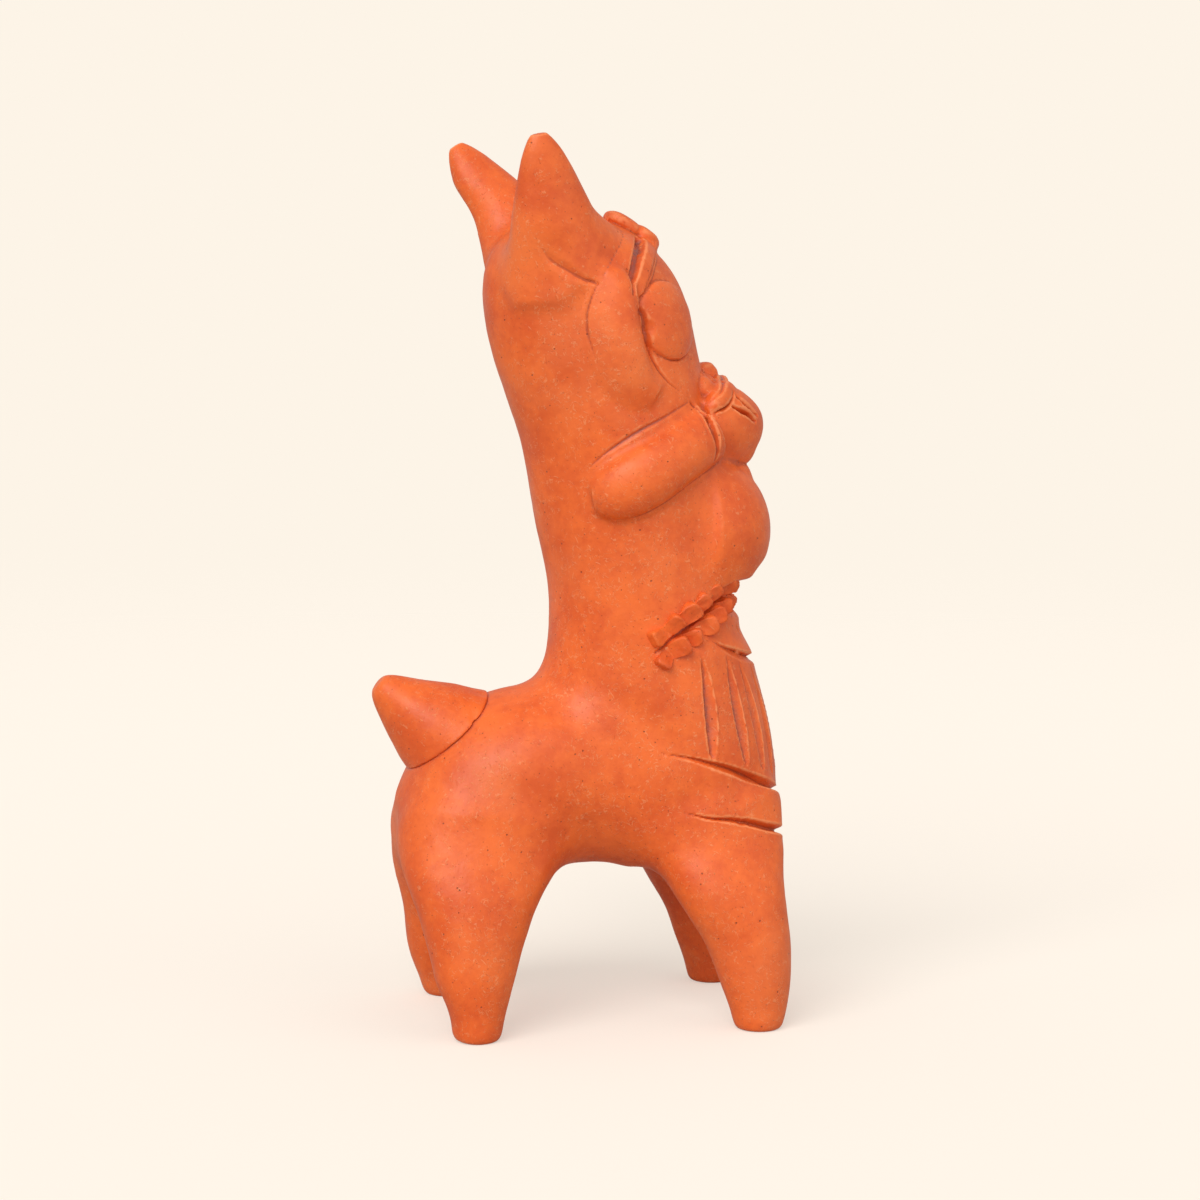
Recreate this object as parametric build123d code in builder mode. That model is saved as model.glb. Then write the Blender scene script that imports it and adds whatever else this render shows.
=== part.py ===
from build123d import *
import math
import os

# Terracotta horse figure, seven inches tall, built up from thrown and hand-rolled clay pieces.
# Millimetres. +X is the way the figure faces, +Y is its left, +Z is up, and the floor is Z = 0.

# Joint planes and walls of the upright column
WALL = 7.0
LOWER_JOINT = 84.0
UPPER_JOINT = 126.0
VENT_RADIUS = 2.5
VENT_HEIGHT = 52.0
VENT_LENGTH = 21.0

# The face and ears are turned a little to the figure's left, about the axis of the head
HEAD_TURN = 8.0
HEAD_AXIS_X = 2.0
TURN_FROM = 98.0
TURN_TO = 128.0

# Upright column from the chest to the crown: height, front, rear, half width
COLUMN = [
    (29.2, 31.0, 14.0, 6.0),
    (31.0, 38.0, 7.5, 11.5),
    (36.4, 39.9, 2.5, 16.0),
    (47.0, 39.8, 0.0, 17.6),
    (57.0, 38.2, -3.0, 17.8),
    (67.0, 35.6, -6.3, 17.5),
    (77.0, 32.8, -6.0, 17.0),
    (87.0, 31.9, -5.9, 16.8),
    (97.0, 31.0, -7.2, 16.6),
    (107.0, 29.2, -9.1, 16.5),
    (117.0, 27.3, -11.6, 16.5),
    (127.0, 25.4, -15.0, 16.6),
    (136.0, 23.4, -17.9, 16.6),
    (144.0, 21.2, -19.0, 16.2),
    (150.0, 17.8, -18.2, 14.8),
    (155.0, 12.6, -15.0, 11.8),
    (158.4, 6.0, -9.6, 7.4),
    (159.6, 1.0, -5.0, 3.2),
]
COLUMN_BORE_FROM = 47.0
COLUMN_BORE_TO = 144.0

# Barrel of the body from the rump forwards: place along X, top, bottom, half width
BARREL = [
    (-37.0, 43.6, 37.0, 3.5),
    (-36.0, 47.6, 33.0, 8.0),
    (-32.6, 53.8, 29.0, 12.6),
    (-27.0, 60.6, 27.5, 16.0),
    (-18.0, 65.3, 28.5, 18.0),
    (-8.0, 67.2, 30.5, 18.2),
    (4.0, 67.5, 31.0, 17.8),
    (16.0, 66.0, 31.5, 16.0),
]
BARREL_BORE_FROM = -27.0

# Legs: height, place along X, distance from the middle plane, half depth, half width
REAR_LEG = [
    (0.0, -23.8, 19.6, 3.9, 3.9),
    (1.2, -23.8, 19.6, 4.9, 4.9),
    (3.0, -23.8, 19.5, 5.3, 5.2),
    (9.0, -23.9, 19.1, 6.9, 6.2),
    (17.0, -23.6, 17.8, 9.1, 7.5),
    (26.0, -23.0, 15.4, 12.0, 8.8),
    (32.0, -22.6, 13.2, 13.8, 9.2),
    (39.0, -21.4, 10.4, 13.8, 8.4),
    (46.0, -20.5, 8.0, 11.6, 8.0),
    (52.0, -19.5, 6.0, 9.0, 6.6),
]
FRONT_LEG = [
    (0.0, 32.4, 20.6, 4.0, 4.0),
    (1.2, 32.4, 20.6, 5.0, 5.0),
    (3.0, 32.4, 20.5, 5.5, 5.3),
    (9.0, 31.8, 20.0, 7.0, 6.3),
    (15.0, 30.9, 19.0, 8.2, 7.2),
    (23.0, 29.0, 17.2, 10.0, 8.2),
    (31.0, 26.6, 14.4, 12.2, 8.8),
    (38.0, 25.6, 11.0, 13.2, 8.2),
    (46.0, 24.2, 8.2, 11.4, 7.4),
    (53.0, 23.0, 6.4, 8.6, 6.0),
]
PEG_RADIUS = 3.5
REAR_PEG = (-22.0, 10.5, 26.0, 37.0)
FRONT_PEG = (25.0, 10.5, 26.0, 38.5)

# Tail: a blunt cone on a tenon that drops into the socket in the rump
TAIL_BASE = (-25.8, 0.0, 56.8)
TAIL_RISE = 37.5
TAIL_PROFILE = [(-8.0, 11.6), (0.0, 11.0), (5.0, 9.2), (10.0, 7.2), (14.2, 5.0), (16.8, 3.4), (18.2, 1.7)]
TENON_RADIUS = 4.5
TENON_LENGTH = 12.0
TENON_ROOT = 6.0
SOCKET_CLEARANCE = 0.4
SOCKET_DEPTH = 14.0
SEAT_GAP = 0.35

# Ears: root, tip, and half sizes along and across, for the right ear and then the left
EAR_FRACTIONS = [(0.0, 1.0), (0.3, 0.92), (0.58, 0.72), (0.8, 0.5), (0.93, 0.32), (1.0, 0.16)]
RIGHT_EAR = ((-4.6, -9.0, 146.0), (-10.6, -16.4, 174.6))
LEFT_EAR = ((-3.6, 9.0, 146.0), (-21.8, 17.0, 173.8))
EAR_HALF_DEPTH = 10.0
EAR_HALF_WIDTH = 6.6
EAR_PEG_RADIUS = 2.5
EAR_PEG_DEPTH = 5.0
EAR_PEG_LENGTH = 17.0

# Belly: a ball flattened from front to back
BELLY_CENTRE = (26.4, 0.0, 97.4)
BELLY_RADIUS = 14.2
BELLY_DEPTH = 12.6
BELLY_LATITUDES = [0, 20, 40, 58, 72, 83]

# Rolls of clay: points on the crest, then half height across and half thickness outwards.
# Their thickness points away from the upright axis of the chest, and mostly to the side.
CHEST_AXIS_X = 18.0
SIDE_FACING = 2.5
FOREARM = [
    ((0.4, -14.6, 104.8), 2.4, 1.6),
    ((3.0, -15.4, 105.4), 4.8, 3.2),
    ((8.0, -16.2, 107.6), 6.0, 4.2),
    ((14.0, -15.4, 111.0), 6.0, 4.6),
    ((20.0, -12.4, 114.6), 5.8, 4.6),
    ((24.2, -9.4, 117.0), 5.6, 4.2),
]
HAND = [
    ((22.0, -9.6, 117.6), 5.8, 4.4),
    ((26.0, -7.8, 118.0), 7.0, 5.2),
    ((31.0, -5.6, 118.2), 7.4, 5.2),
    ((34.8, -4.4, 117.8), 5.6, 3.8),
    ((37.0, -4.0, 117.6), 2.6, 1.8),
]
LIP = [
    ((23.4, -8.4, 120.8), 1.2, 1.2),
    ((27.0, -5.6, 124.6), 1.8, 1.6),
    ((29.6, 0.0, 126.4), 2.0, 1.8),
]
SIDE_LOCK = [
    ((3.0, -13.6, 149.0), 2.4, 1.6),
    ((3.2, -14.8, 145.0), 5.0, 2.8),
    ((3.4, -15.6, 139.2), 5.8, 3.2),
    ((4.6, -15.9, 133.4), 5.8, 3.2),
    ((7.4, -15.8, 128.0), 4.8, 2.8),
    ((12.0, -14.8, 124.8), 2.4, 1.8),
]
BELT = [
    ((11.8, -17.0, 75.0), 2.8, 1.6),
    ((16.8, -16.9, 77.4), 3.4, 2.0),
    ((22.4, -14.9, 81.4), 3.4, 2.0),
    ((28.2, -10.0, 85.4), 3.4, 2.0),
    ((31.8, 0.0, 87.6), 3.4, 1.8),
]

# Face: eyes, nose lobes, lip and the knot of the headband
EYE_CENTRE = (15.6, -12.0, 139.0)
EYE_AZIMUTH = -54.0
EYE_HALF_WIDTH = 5.8
EYE_HALF_HEIGHT = 7.6
EYE_TILT = 8.0
EYE_DOME = [(-3.0, 1.0), (0.0, 1.0), (0.8, 0.86), (1.4, 0.6), (1.7, 0.28)]
NOSE_TIP = (26.2, 0.0, 128.6, 2.7)
NOSE_WING = (24.8, -3.8, 125.6, 2.9)
KNOT_CENTRE = (11.4, 0.0, 156.2)
KNOT_SLOPE = 35.0
KNOT_HALF_LENGTH = 5.2
KNOT_HALF_WIDTH = 3.6
KNOT_THICKNESS = 2.6
KNOT_EDGE = 1.2

# Headband straps, seen from the side: rear edge and front edge of each, as X and Z
STRAP_PROUD = 1.2
REAR_STRAP = [
    (5.6, 162.0), (7.0, 155.8), (5.6, 150.4), (2.6, 146.8),
    (6.6, 146.0), (9.2, 150.8), (10.2, 156.4), (9.6, 162.0),
]
FRONT_STRAP = [(13.0, 156.4), (11.0, 150.8), (8.2, 145.4), (10.6, 144.4), (13.4, 149.0), (15.6, 155.0)]

# Pleated apron and the hem band below it, seen from the side
APRON_PROUD = 1.0
APRON = [(19.6, 74.4), (21.6, 54.0), (29.4, 51.0), (44.0, 46.2), (44.0, 71.2), (28.0, 73.4)]
PLEAT_ANGLES = [-69.0, -51.0, -27.0, 0.0, 27.0, 51.0, 69.0]
PLEAT_WIDTH = 1.2
PLEAT_TOP = 72.4
PLEAT_REACH = 26.0
HEM_BAND = [
    (13.6, 53.8), (21.2, 52.4), (29.4, 49.4), (44.0, 44.6),
    (44.0, 36.4), (32.4, 40.6), (21.2, 43.2), (17.0, 43.4),
]
TAB = [(29.0, 81.4), (36.0, 80.0), (37.2, 73.2), (30.0, 75.0)]
TAB_HALF_WIDTH = 3.6
TAB_PROUD = 0.9

# Side of each pair as the sign of Y, and a half width that reaches past the whole figure
SIDES = {"right": -1, "left": 1}
BEYOND_SIDES = 40.0
os.makedirs("parts", exist_ok=True)


def keep(builder, name):
    """Labels a finished piece and writes it."""
    builder.part.label = name
    export_step(builder.part, f"parts/{name}.step")
    return builder.part


def column_solid(grow=0.0, bottom=COLUMN[0][0], top=COLUMN[-1][0]):
    """The upright column through its elliptical sections, grown or shrunk all round."""
    with BuildPart() as column:
        for height, front, rear, half_width in COLUMN:
            if bottom <= height <= top:
                turn = HEAD_TURN * min(max((height - TURN_FROM) / (TURN_TO - TURN_FROM), 0), 1)
                with BuildSketch(Plane.XY.offset(height)):
                    with Locations(((front + rear) / 2, 0)):
                        Ellipse((front - rear) / 2 + grow, half_width + grow, rotation=turn)
        loft()
    return column.part


def barrel_solid(grow=0.0, rear=BARREL[0][0]):
    """The barrel through its elliptical sections, from the rump to inside the chest."""
    with BuildPart() as barrel:
        for along, top, bottom, half_width in BARREL:
            if along >= rear:
                with BuildSketch(Plane.YZ.offset(along)):
                    with Locations((0, (top + bottom) / 2)):
                        Ellipse(half_width + grow, (top - bottom) / 2 + grow)
        loft()
    return barrel.part


def leg_solid(stations, side):
    with BuildPart() as leg:
        for height, along, out, half_depth, half_width in stations:
            with BuildSketch(Plane.XY.offset(height)):
                with Locations((along, side * out)):
                    Ellipse(half_depth, half_width)
        loft()
    return leg.part


def peg_solid(place, side):
    along, out, bottom, top = place
    with BuildPart() as peg:
        with BuildSketch(Plane.XY.offset(bottom)):
            with Locations((along, side * out)):
                Circle(PEG_RADIUS)
        extrude(amount=top - bottom)
    return peg.part


def roll_solid(stations, mirrored=False):
    """A roll of clay: ellipses set square to the line through the stations."""
    points = [Vector(*point) for point, _, _ in stations]
    sizes = [(across, out) for _, across, out in stations]
    if mirrored:
        points += [Vector(p.X, -p.Y, p.Z) for p in reversed(points[:-1])]
        sizes += list(reversed(sizes[:-1]))
    with BuildPart() as roll:
        for i, (point, (across, out)) in enumerate(zip(points, sizes)):
            before = points[max(i - 1, 0)]
            after = points[min(i + 1, len(points) - 1)]
            along = (after - before).normalized()
            outward = Vector(point.X - CHEST_AXIS_X, point.Y * SIDE_FACING, 0)
            outward = (outward - along * outward.dot(along)).normalized()
            with BuildSketch(Plane(origin=point, x_dir=outward, z_dir=along)):
                Ellipse(out, across)
        loft()
    return roll.part


def ear_solid(root, tip):
    """A leaf-shaped ear: ellipses that shrink from the root to the blunt tip."""
    root = Vector(*root)
    tip = Vector(*tip)
    axis = (tip - root).normalized()
    turn = math.radians(HEAD_TURN)
    forward = Vector(math.cos(turn), math.sin(turn), 0)
    forward = (forward - axis * forward.dot(axis)).normalized()
    with BuildPart() as ear:
        for fraction, size in EAR_FRACTIONS:
            with BuildSketch(Plane(origin=root + (tip - root) * fraction, x_dir=forward, z_dir=axis)):
                Ellipse(EAR_HALF_DEPTH * size, EAR_HALF_WIDTH * size)
        loft()
    return ear.part


def ear_peg(root, tip):
    axis = (Vector(*tip) - Vector(*root)).normalized()
    with BuildPart() as peg:
        with BuildSketch(Plane(origin=Vector(*root) - axis * EAR_PEG_DEPTH, z_dir=axis)):
            Circle(EAR_PEG_RADIUS)
        extrude(amount=EAR_PEG_LENGTH)
    return peg.part


def side_view_prism(outline, half_width=BEYOND_SIDES):
    """An outline in side view, extruded to both sides of the middle plane."""
    with BuildPart() as prism:
        with BuildSketch(Plane.XZ):
            with BuildLine():
                Polyline(*outline, close=True)
            make_face()
        extrude(amount=half_width, both=True)
    return prism.part


def ball(place):
    along, across, height, radius = place
    with BuildPart() as pellet:
        with Locations((along, across, height)):
            Sphere(radius)
    return pellet.part


def turned(shape):
    """Turns a shape with the face, about the upright axis of the head."""
    return shape.rotate(Axis((HEAD_AXIS_X, 0, 0), (0, 0, 1)), HEAD_TURN)


FACE_PLANE = Plane(
    origin=(HEAD_AXIS_X, 0, 0),
    x_dir=(math.cos(math.radians(HEAD_TURN)), math.sin(math.radians(HEAD_TURN)), 0),
    z_dir=(-math.sin(math.radians(HEAD_TURN)), math.cos(math.radians(HEAD_TURN)), 0),
)


def across_face(shape, side):
    """The right-hand shape as it is, or its mirror image in the plane of the face."""
    if side < 0:
        return shape
    with BuildPart() as mirrored:
        mirror(shape, about=FACE_PLANE)
    return mirrored.part


# Bulk shapes that the pieces are cut from
column = column_solid()
column_bore = column_solid(-WALL, COLUMN_BORE_FROM, COLUMN_BORE_TO)
barrel_bulk = barrel_solid()
barrel_seat = barrel_solid(SEAT_GAP)
barrel_bore = barrel_solid(-WALL, BARREL_BORE_FROM)
pegs = {}
for side_name, side in SIDES.items():
    pegs["rear", side_name] = peg_solid(REAR_PEG, side)
    pegs["front", side_name] = peg_solid(FRONT_PEG, side)
ears = {"right": ear_solid(*RIGHT_EAR), "left": ear_solid(*LEFT_EAR)}
ear_pegs = {"right": ear_peg(*RIGHT_EAR), "left": ear_peg(*LEFT_EAR)}

rise = math.radians(TAIL_RISE)
tail_axis = Vector(-math.cos(rise), 0, math.sin(rise))
tail_plane = Plane(origin=TAIL_BASE, x_dir=(0, 1, 0), z_dir=tail_axis)

# Barrel of the body, hollow, with the tail socket through its rear wall
with BuildPart() as barrel:
    add(barrel_bulk)
    add(column, mode=Mode.SUBTRACT)
    add(barrel_bore, mode=Mode.SUBTRACT)
    for side_name in SIDES:
        add(pegs["rear", side_name], mode=Mode.SUBTRACT)
    with BuildSketch(tail_plane.offset(-SOCKET_DEPTH)):
        Circle(TENON_RADIUS + SOCKET_CLEARANCE)
    extrude(amount=2 * SOCKET_DEPTH, mode=Mode.SUBTRACT)
keep(barrel, "barrel")

# Column in three lengths: chest with lower neck, upper neck, head
with BuildPart() as neck_lower:
    add(column)
    split(bisect_by=Plane.XY.offset(LOWER_JOINT), keep=Keep.BOTTOM)
    add(column_bore, mode=Mode.SUBTRACT)
    for side_name in SIDES:
        add(pegs["front", side_name], mode=Mode.SUBTRACT)
    with BuildSketch(Plane.YZ.offset(-WALL)):
        with Locations((0, VENT_HEIGHT)):
            Circle(VENT_RADIUS)
    extrude(amount=VENT_LENGTH, mode=Mode.SUBTRACT)
keep(neck_lower, "neck_lower")

with BuildPart() as neck_upper:
    add(column)
    split(bisect_by=Plane.XY.offset(UPPER_JOINT), keep=Keep.BOTTOM)
    split(bisect_by=Plane.XY.offset(LOWER_JOINT), keep=Keep.TOP)
    add(column_bore, mode=Mode.SUBTRACT)
keep(neck_upper, "neck_upper")

with BuildPart() as head:
    add(column)
    split(bisect_by=Plane.XY.offset(UPPER_JOINT), keep=Keep.TOP)
    add(column_bore, mode=Mode.SUBTRACT)
    for side_name in SIDES:
        add(ear_pegs[side_name], mode=Mode.SUBTRACT)
keep(head, "head")

# Pleated apron and hem band, thin slabs wrapped round the chest
apron_shell = column_solid(APRON_PROUD)
with BuildPart() as hem_band:
    add(apron_shell)
    add(side_view_prism(HEM_BAND), mode=Mode.INTERSECT)
    add(column, mode=Mode.SUBTRACT)
keep(hem_band, "hem_band")

with BuildPart() as apron:
    add(apron_shell)
    add(side_view_prism(APRON), mode=Mode.INTERSECT)
    add(column, mode=Mode.SUBTRACT)
    for angle in PLEAT_ANGLES:
        facing = math.radians(angle)
        cut_plane = Plane(
            origin=(CHEST_AXIS_X, 0, 0),
            x_dir=(math.cos(facing), math.sin(facing), 0),
            z_dir=(0, 0, 1),
        )
        with BuildSketch(cut_plane):
            with Locations((PLEAT_REACH / 2, 0)):
                Rectangle(PLEAT_REACH, PLEAT_WIDTH)
        extrude(amount=PLEAT_TOP, mode=Mode.SUBTRACT)
keep(apron, "apron")

# Belly, a ball flattened from front to back, luted to the front of the column
with BuildPart() as belly:
    for latitude in BELLY_LATITUDES:
        forward = BELLY_DEPTH * math.sin(math.radians(latitude))
        with BuildSketch(Plane.YZ.offset(BELLY_CENTRE[0] + forward)):
            with Locations((0, BELLY_CENTRE[2])):
                Circle(BELLY_RADIUS * math.cos(math.radians(latitude)))
    loft()
belly_bulk = belly.part
with BuildPart() as belly:
    add(belly_bulk)
    add(column, mode=Mode.SUBTRACT)
keep(belly, "belly")

# Plaited belt under the belly, from one hip round the front to the other
belt_bulk = roll_solid(BELT, mirrored=True)
with BuildPart() as plaited_belt:
    add(belt_bulk)
    add(column, mode=Mode.SUBTRACT)
    add(belly_bulk, mode=Mode.SUBTRACT)
keep(plaited_belt, "plaited_belt")

# Tab of the belt, a short flap over the top of the apron
with BuildPart() as belt_tab:
    add(column_solid(TAB_PROUD))
    add(side_view_prism(TAB, TAB_HALF_WIDTH), mode=Mode.INTERSECT)
    add(column, mode=Mode.SUBTRACT)
    add(belt_bulk, mode=Mode.SUBTRACT)
    add(apron.part, mode=Mode.SUBTRACT)
keep(belt_tab, "belt_tab")

# Forearms and hands, rolls of clay raised to the mouth
forearm_bulk = roll_solid(FOREARM)
hand_bulk = turned(roll_solid(HAND))
hand_halves = {}
for side_name, side in SIDES.items():
    this_forearm = across_face(forearm_bulk, side)
    with BuildPart() as forearm:
        add(this_forearm)
        add(column, mode=Mode.SUBTRACT)
        add(belly_bulk, mode=Mode.SUBTRACT)
    keep(forearm, f"{side_name}_forearm")

    with BuildPart() as hand:
        add(across_face(hand_bulk, side))
        split(bisect_by=FACE_PLANE, keep=Keep.TOP if side > 0 else Keep.BOTTOM)
        add(column, mode=Mode.SUBTRACT)
        add(belly_bulk, mode=Mode.SUBTRACT)
        add(this_forearm, mode=Mode.SUBTRACT)
    hand_halves[side_name] = keep(hand, f"{side_name}_hand")

# Ears on short pegs, cut to sit on the head
for side_name in SIDES:
    with BuildPart() as ear:
        add(ears[side_name])
        add(column, mode=Mode.SUBTRACT)
        add(ear_pegs[side_name])
    keep(ear, f"{side_name}_ear")

# Eyes: low domes with an oval outline
azimuth = math.radians(EYE_AZIMUTH)
eye_plane = Plane(
    origin=EYE_CENTRE,
    x_dir=(-math.sin(azimuth), math.cos(azimuth), 0),
    z_dir=(math.cos(azimuth), math.sin(azimuth), 0),
)
with BuildPart() as eye:
    for proud, size in EYE_DOME:
        with BuildSketch(eye_plane.offset(proud)):
            Ellipse(EYE_HALF_WIDTH * size, EYE_HALF_HEIGHT * size, rotation=EYE_TILT)
    loft()
eyes = {side_name: across_face(eye.part, side) for side_name, side in SIDES.items()}
for side_name in SIDES:
    with BuildPart() as eye:
        add(eyes[side_name])
        add(column, mode=Mode.SUBTRACT)
    keep(eye, f"{side_name}_eye")

# Knot on the forehead, then the two straps of the headband that run under it
slope = math.radians(KNOT_SLOPE)
knot_plane = Plane(
    origin=KNOT_CENTRE,
    x_dir=(math.cos(slope), 0, -math.sin(slope)),
    z_dir=(math.sin(slope), 0, math.cos(slope)),
)
with BuildPart() as knot:
    with BuildSketch(knot_plane.offset(-KNOT_THICKNESS)):
        Ellipse(KNOT_HALF_LENGTH, KNOT_HALF_WIDTH)
    extrude(amount=2 * KNOT_THICKNESS)
    fillet(knot.faces().sort_by(Axis(KNOT_CENTRE, knot_plane.z_dir))[-1].edges(), KNOT_EDGE)
knot_bulk = turned(knot.part)
with BuildPart() as headband_knot:
    add(knot_bulk)
    add(column, mode=Mode.SUBTRACT)
keep(headband_knot, "headband_knot")

strap_shell = column_solid(STRAP_PROUD)
straps = []
for strap_name, outline in {"rear_strap": REAR_STRAP, "front_strap": FRONT_STRAP}.items():
    with BuildPart() as strap:
        add(strap_shell)
        add(turned(side_view_prism(outline)), mode=Mode.INTERSECT)
        add(column, mode=Mode.SUBTRACT)
        add(knot_bulk, mode=Mode.SUBTRACT)
        for side_name in SIDES:
            add(ears[side_name], mode=Mode.SUBTRACT)
            add(eyes[side_name], mode=Mode.SUBTRACT)
    straps.append(keep(strap, strap_name))

# Side locks, soft rolls that hang from the headband behind the eyes
lock_bulk = roll_solid(SIDE_LOCK)
for side_name, side in SIDES.items():
    with BuildPart() as side_lock:
        add(across_face(lock_bulk, side))
        add(column, mode=Mode.SUBTRACT)
        add(straps, mode=Mode.SUBTRACT)
        add(ears[side_name], mode=Mode.SUBTRACT)
        add(eyes[side_name], mode=Mode.SUBTRACT)
    keep(side_lock, f"{side_name}_side_lock")

# Nose of three lobes, and the rim of the lip between it and the hands
with BuildPart() as nose:
    add(ball(NOSE_TIP))
    add(ball(NOSE_WING))
    mirror(about=Plane.XZ)
nose_bulk = turned(nose.part)
with BuildPart() as nose:
    add(nose_bulk)
    add(column, mode=Mode.SUBTRACT)
    for side_name in SIDES:
        add(hand_halves[side_name], mode=Mode.SUBTRACT)
keep(nose, "nose")

lip_bulk = turned(roll_solid(LIP, mirrored=True))
with BuildPart() as lip:
    add(lip_bulk)
    add(column, mode=Mode.SUBTRACT)
    add(nose_bulk, mode=Mode.SUBTRACT)
    for side_name in SIDES:
        add(hand_halves[side_name], mode=Mode.SUBTRACT)
        add(across_face(forearm_bulk, SIDES[side_name]), mode=Mode.SUBTRACT)
keep(lip, "lip")

# Legs: blunt cones that swell into the haunches, on pegs
for place, stations in {"rear": REAR_LEG, "front": FRONT_LEG}.items():
    for side_name, side in SIDES.items():
        with BuildPart() as leg:
            add(leg_solid(stations, side))
            add(column, mode=Mode.SUBTRACT)
            add(barrel_bulk, mode=Mode.SUBTRACT)
            add(hem_band.part, mode=Mode.SUBTRACT)
            add(pegs[place, side_name])
        keep(leg, f"{side_name}_{place}_leg")

# Tail: a blunt cone whose underside is cut to the rump, on its tenon
with BuildPart() as tail:
    for height, radius in TAIL_PROFILE:
        with BuildSketch(tail_plane.offset(height)):
            Circle(radius)
    loft()
    add(barrel_seat, mode=Mode.SUBTRACT)
    with BuildSketch(tail_plane.offset(-TENON_LENGTH)):
        Circle(TENON_RADIUS)
    extrude(amount=TENON_LENGTH + TENON_ROOT)
keep(tail, "tail")
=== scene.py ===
# %% [markdown]
# # A terracotta horse, dressed for the camera
#
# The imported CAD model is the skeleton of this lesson: it says where every lump of clay sits. A real potter
# makes the lumps apart, presses them together and smooths the joins with a wet thumb. This script does the
# same with distance grids, then cuts the incised lines, lays the plait and gives the clay its fired,
# burnished surface.

# %% Load the frame
import math
import bpy
import numpy as np
import openvdb as vdb
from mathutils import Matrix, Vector


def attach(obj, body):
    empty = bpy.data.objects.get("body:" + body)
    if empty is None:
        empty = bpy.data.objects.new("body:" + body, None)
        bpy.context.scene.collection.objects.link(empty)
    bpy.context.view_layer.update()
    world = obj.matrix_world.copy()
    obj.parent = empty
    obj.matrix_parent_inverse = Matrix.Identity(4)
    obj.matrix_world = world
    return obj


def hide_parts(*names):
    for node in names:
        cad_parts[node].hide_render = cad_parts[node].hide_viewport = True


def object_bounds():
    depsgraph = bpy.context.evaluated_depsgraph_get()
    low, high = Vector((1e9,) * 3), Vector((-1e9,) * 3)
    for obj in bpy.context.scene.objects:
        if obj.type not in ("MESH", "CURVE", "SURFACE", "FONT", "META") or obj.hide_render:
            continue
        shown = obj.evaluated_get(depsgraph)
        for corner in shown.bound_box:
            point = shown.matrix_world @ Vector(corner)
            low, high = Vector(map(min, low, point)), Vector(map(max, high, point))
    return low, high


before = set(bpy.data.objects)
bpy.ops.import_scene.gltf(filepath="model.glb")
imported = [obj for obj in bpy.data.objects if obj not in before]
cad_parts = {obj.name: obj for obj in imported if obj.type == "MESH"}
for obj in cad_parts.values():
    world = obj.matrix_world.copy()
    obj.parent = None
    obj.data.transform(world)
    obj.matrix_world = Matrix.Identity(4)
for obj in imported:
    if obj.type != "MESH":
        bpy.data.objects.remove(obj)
CAD_LOW, CAD_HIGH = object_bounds()
MM = 0.001
print("nodes", len(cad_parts), "CAD box in mm", [round(v / MM, 1) for v in (*CAD_LOW, *CAD_HIGH)])

# %% [markdown]
# ## Camera
#
# The picture was taken with a long lens from a little above, slightly from behind the figure's right side.
# Fixing the camera first means that every later choice is made in the right view.

# %% Camera
LENS = 85.0
SENSOR = 36.0
VIEW_AZIMUTH = math.radians(-11.0)
VIEW_ELEVATION = math.radians(6.0)
VIEW_DISTANCE = 566.7 * MM
VIEW_TARGET = Vector((4.5, 0.0, 83.4)) * MM


def add_object(name, data):
    """A new object at the origin that shows the data."""
    made = bpy.data.objects.new(name, data)
    bpy.context.scene.collection.objects.link(made)
    return made


def make_camera():
    data = bpy.data.cameras.new("studio_camera")
    data.lens = LENS
    data.sensor_width = SENSOR
    camera = add_object("studio_camera", data)
    flat = math.cos(VIEW_ELEVATION)
    back = Vector((math.sin(VIEW_AZIMUTH) * flat, -math.cos(VIEW_AZIMUTH) * flat, math.sin(VIEW_ELEVATION)))
    camera.location = VIEW_TARGET + back * VIEW_DISTANCE
    camera.rotation_mode = "QUATERNION"
    camera.rotation_quaternion = (-back).to_track_quat("-Z", "Y")
    bpy.context.scene.camera = camera
    return camera


print("camera at", [round(v, 3) for v in make_camera().location])

# %% [markdown]
# ## One skin of clay
#
# The joins between neck, legs, ears and body are thumbed smooth, so a pile of overlapping solids would look
# wrong. Sculpting by hand would do, but a distance grid does it by rule: each grid point stores how far it
# is from a piece, negative inside, and a soft minimum of two such grids is their union with a fillet.

# %% Distance grid
VOXEL = 0.3
REACH = 9.3
DEEP = 2.4
MARGIN = 3.1
GRID_LOW = np.array(CAD_LOW) / MM - MARGIN
GRID_SIZE = np.array(CAD_HIGH) / MM + MARGIN - GRID_LOW
GRID_SHAPE = np.ceil(GRID_SIZE / VOXEL).astype(int) + 1
SPACING = vdb.createLinearTransform(VOXEL)
print("grid", GRID_SHAPE, "points of", VOXEL, "mm")


def node_distance(name):
    """The distance in mm to one CAD node, on the part of the grid around it."""
    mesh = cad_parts[name].data
    mesh.calc_loop_triangles()
    points = np.empty(len(mesh.vertices) * 3, np.float32)
    mesh.vertices.foreach_get("co", points)
    points = (points.reshape(-1, 3) / MM - GRID_LOW).astype(np.float32)
    corners = np.empty(len(mesh.loop_triangles) * 3, np.int32)
    mesh.loop_triangles.foreach_get("vertices", corners)
    level = vdb.FloatGrid.createLevelSetFromPolygons(
        points, triangles=corners.reshape(-1, 3).astype(np.uint32), transform=SPACING,
        exBandWidth=REACH / VOXEL, inBandWidth=DEEP / VOXEL)
    low = np.maximum(np.floor((points.min(0) - REACH) / VOXEL).astype(int), 0)
    high = np.minimum(np.ceil((points.max(0) + REACH) / VOXEL).astype(int) + 1, GRID_SHAPE)
    block = np.empty(tuple(high - low), np.float32)
    level.copyToArray(block, ijk=tuple(int(i) for i in low))
    return tuple(slice(int(a), int(b)) for a, b in zip(low, high)), block


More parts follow.
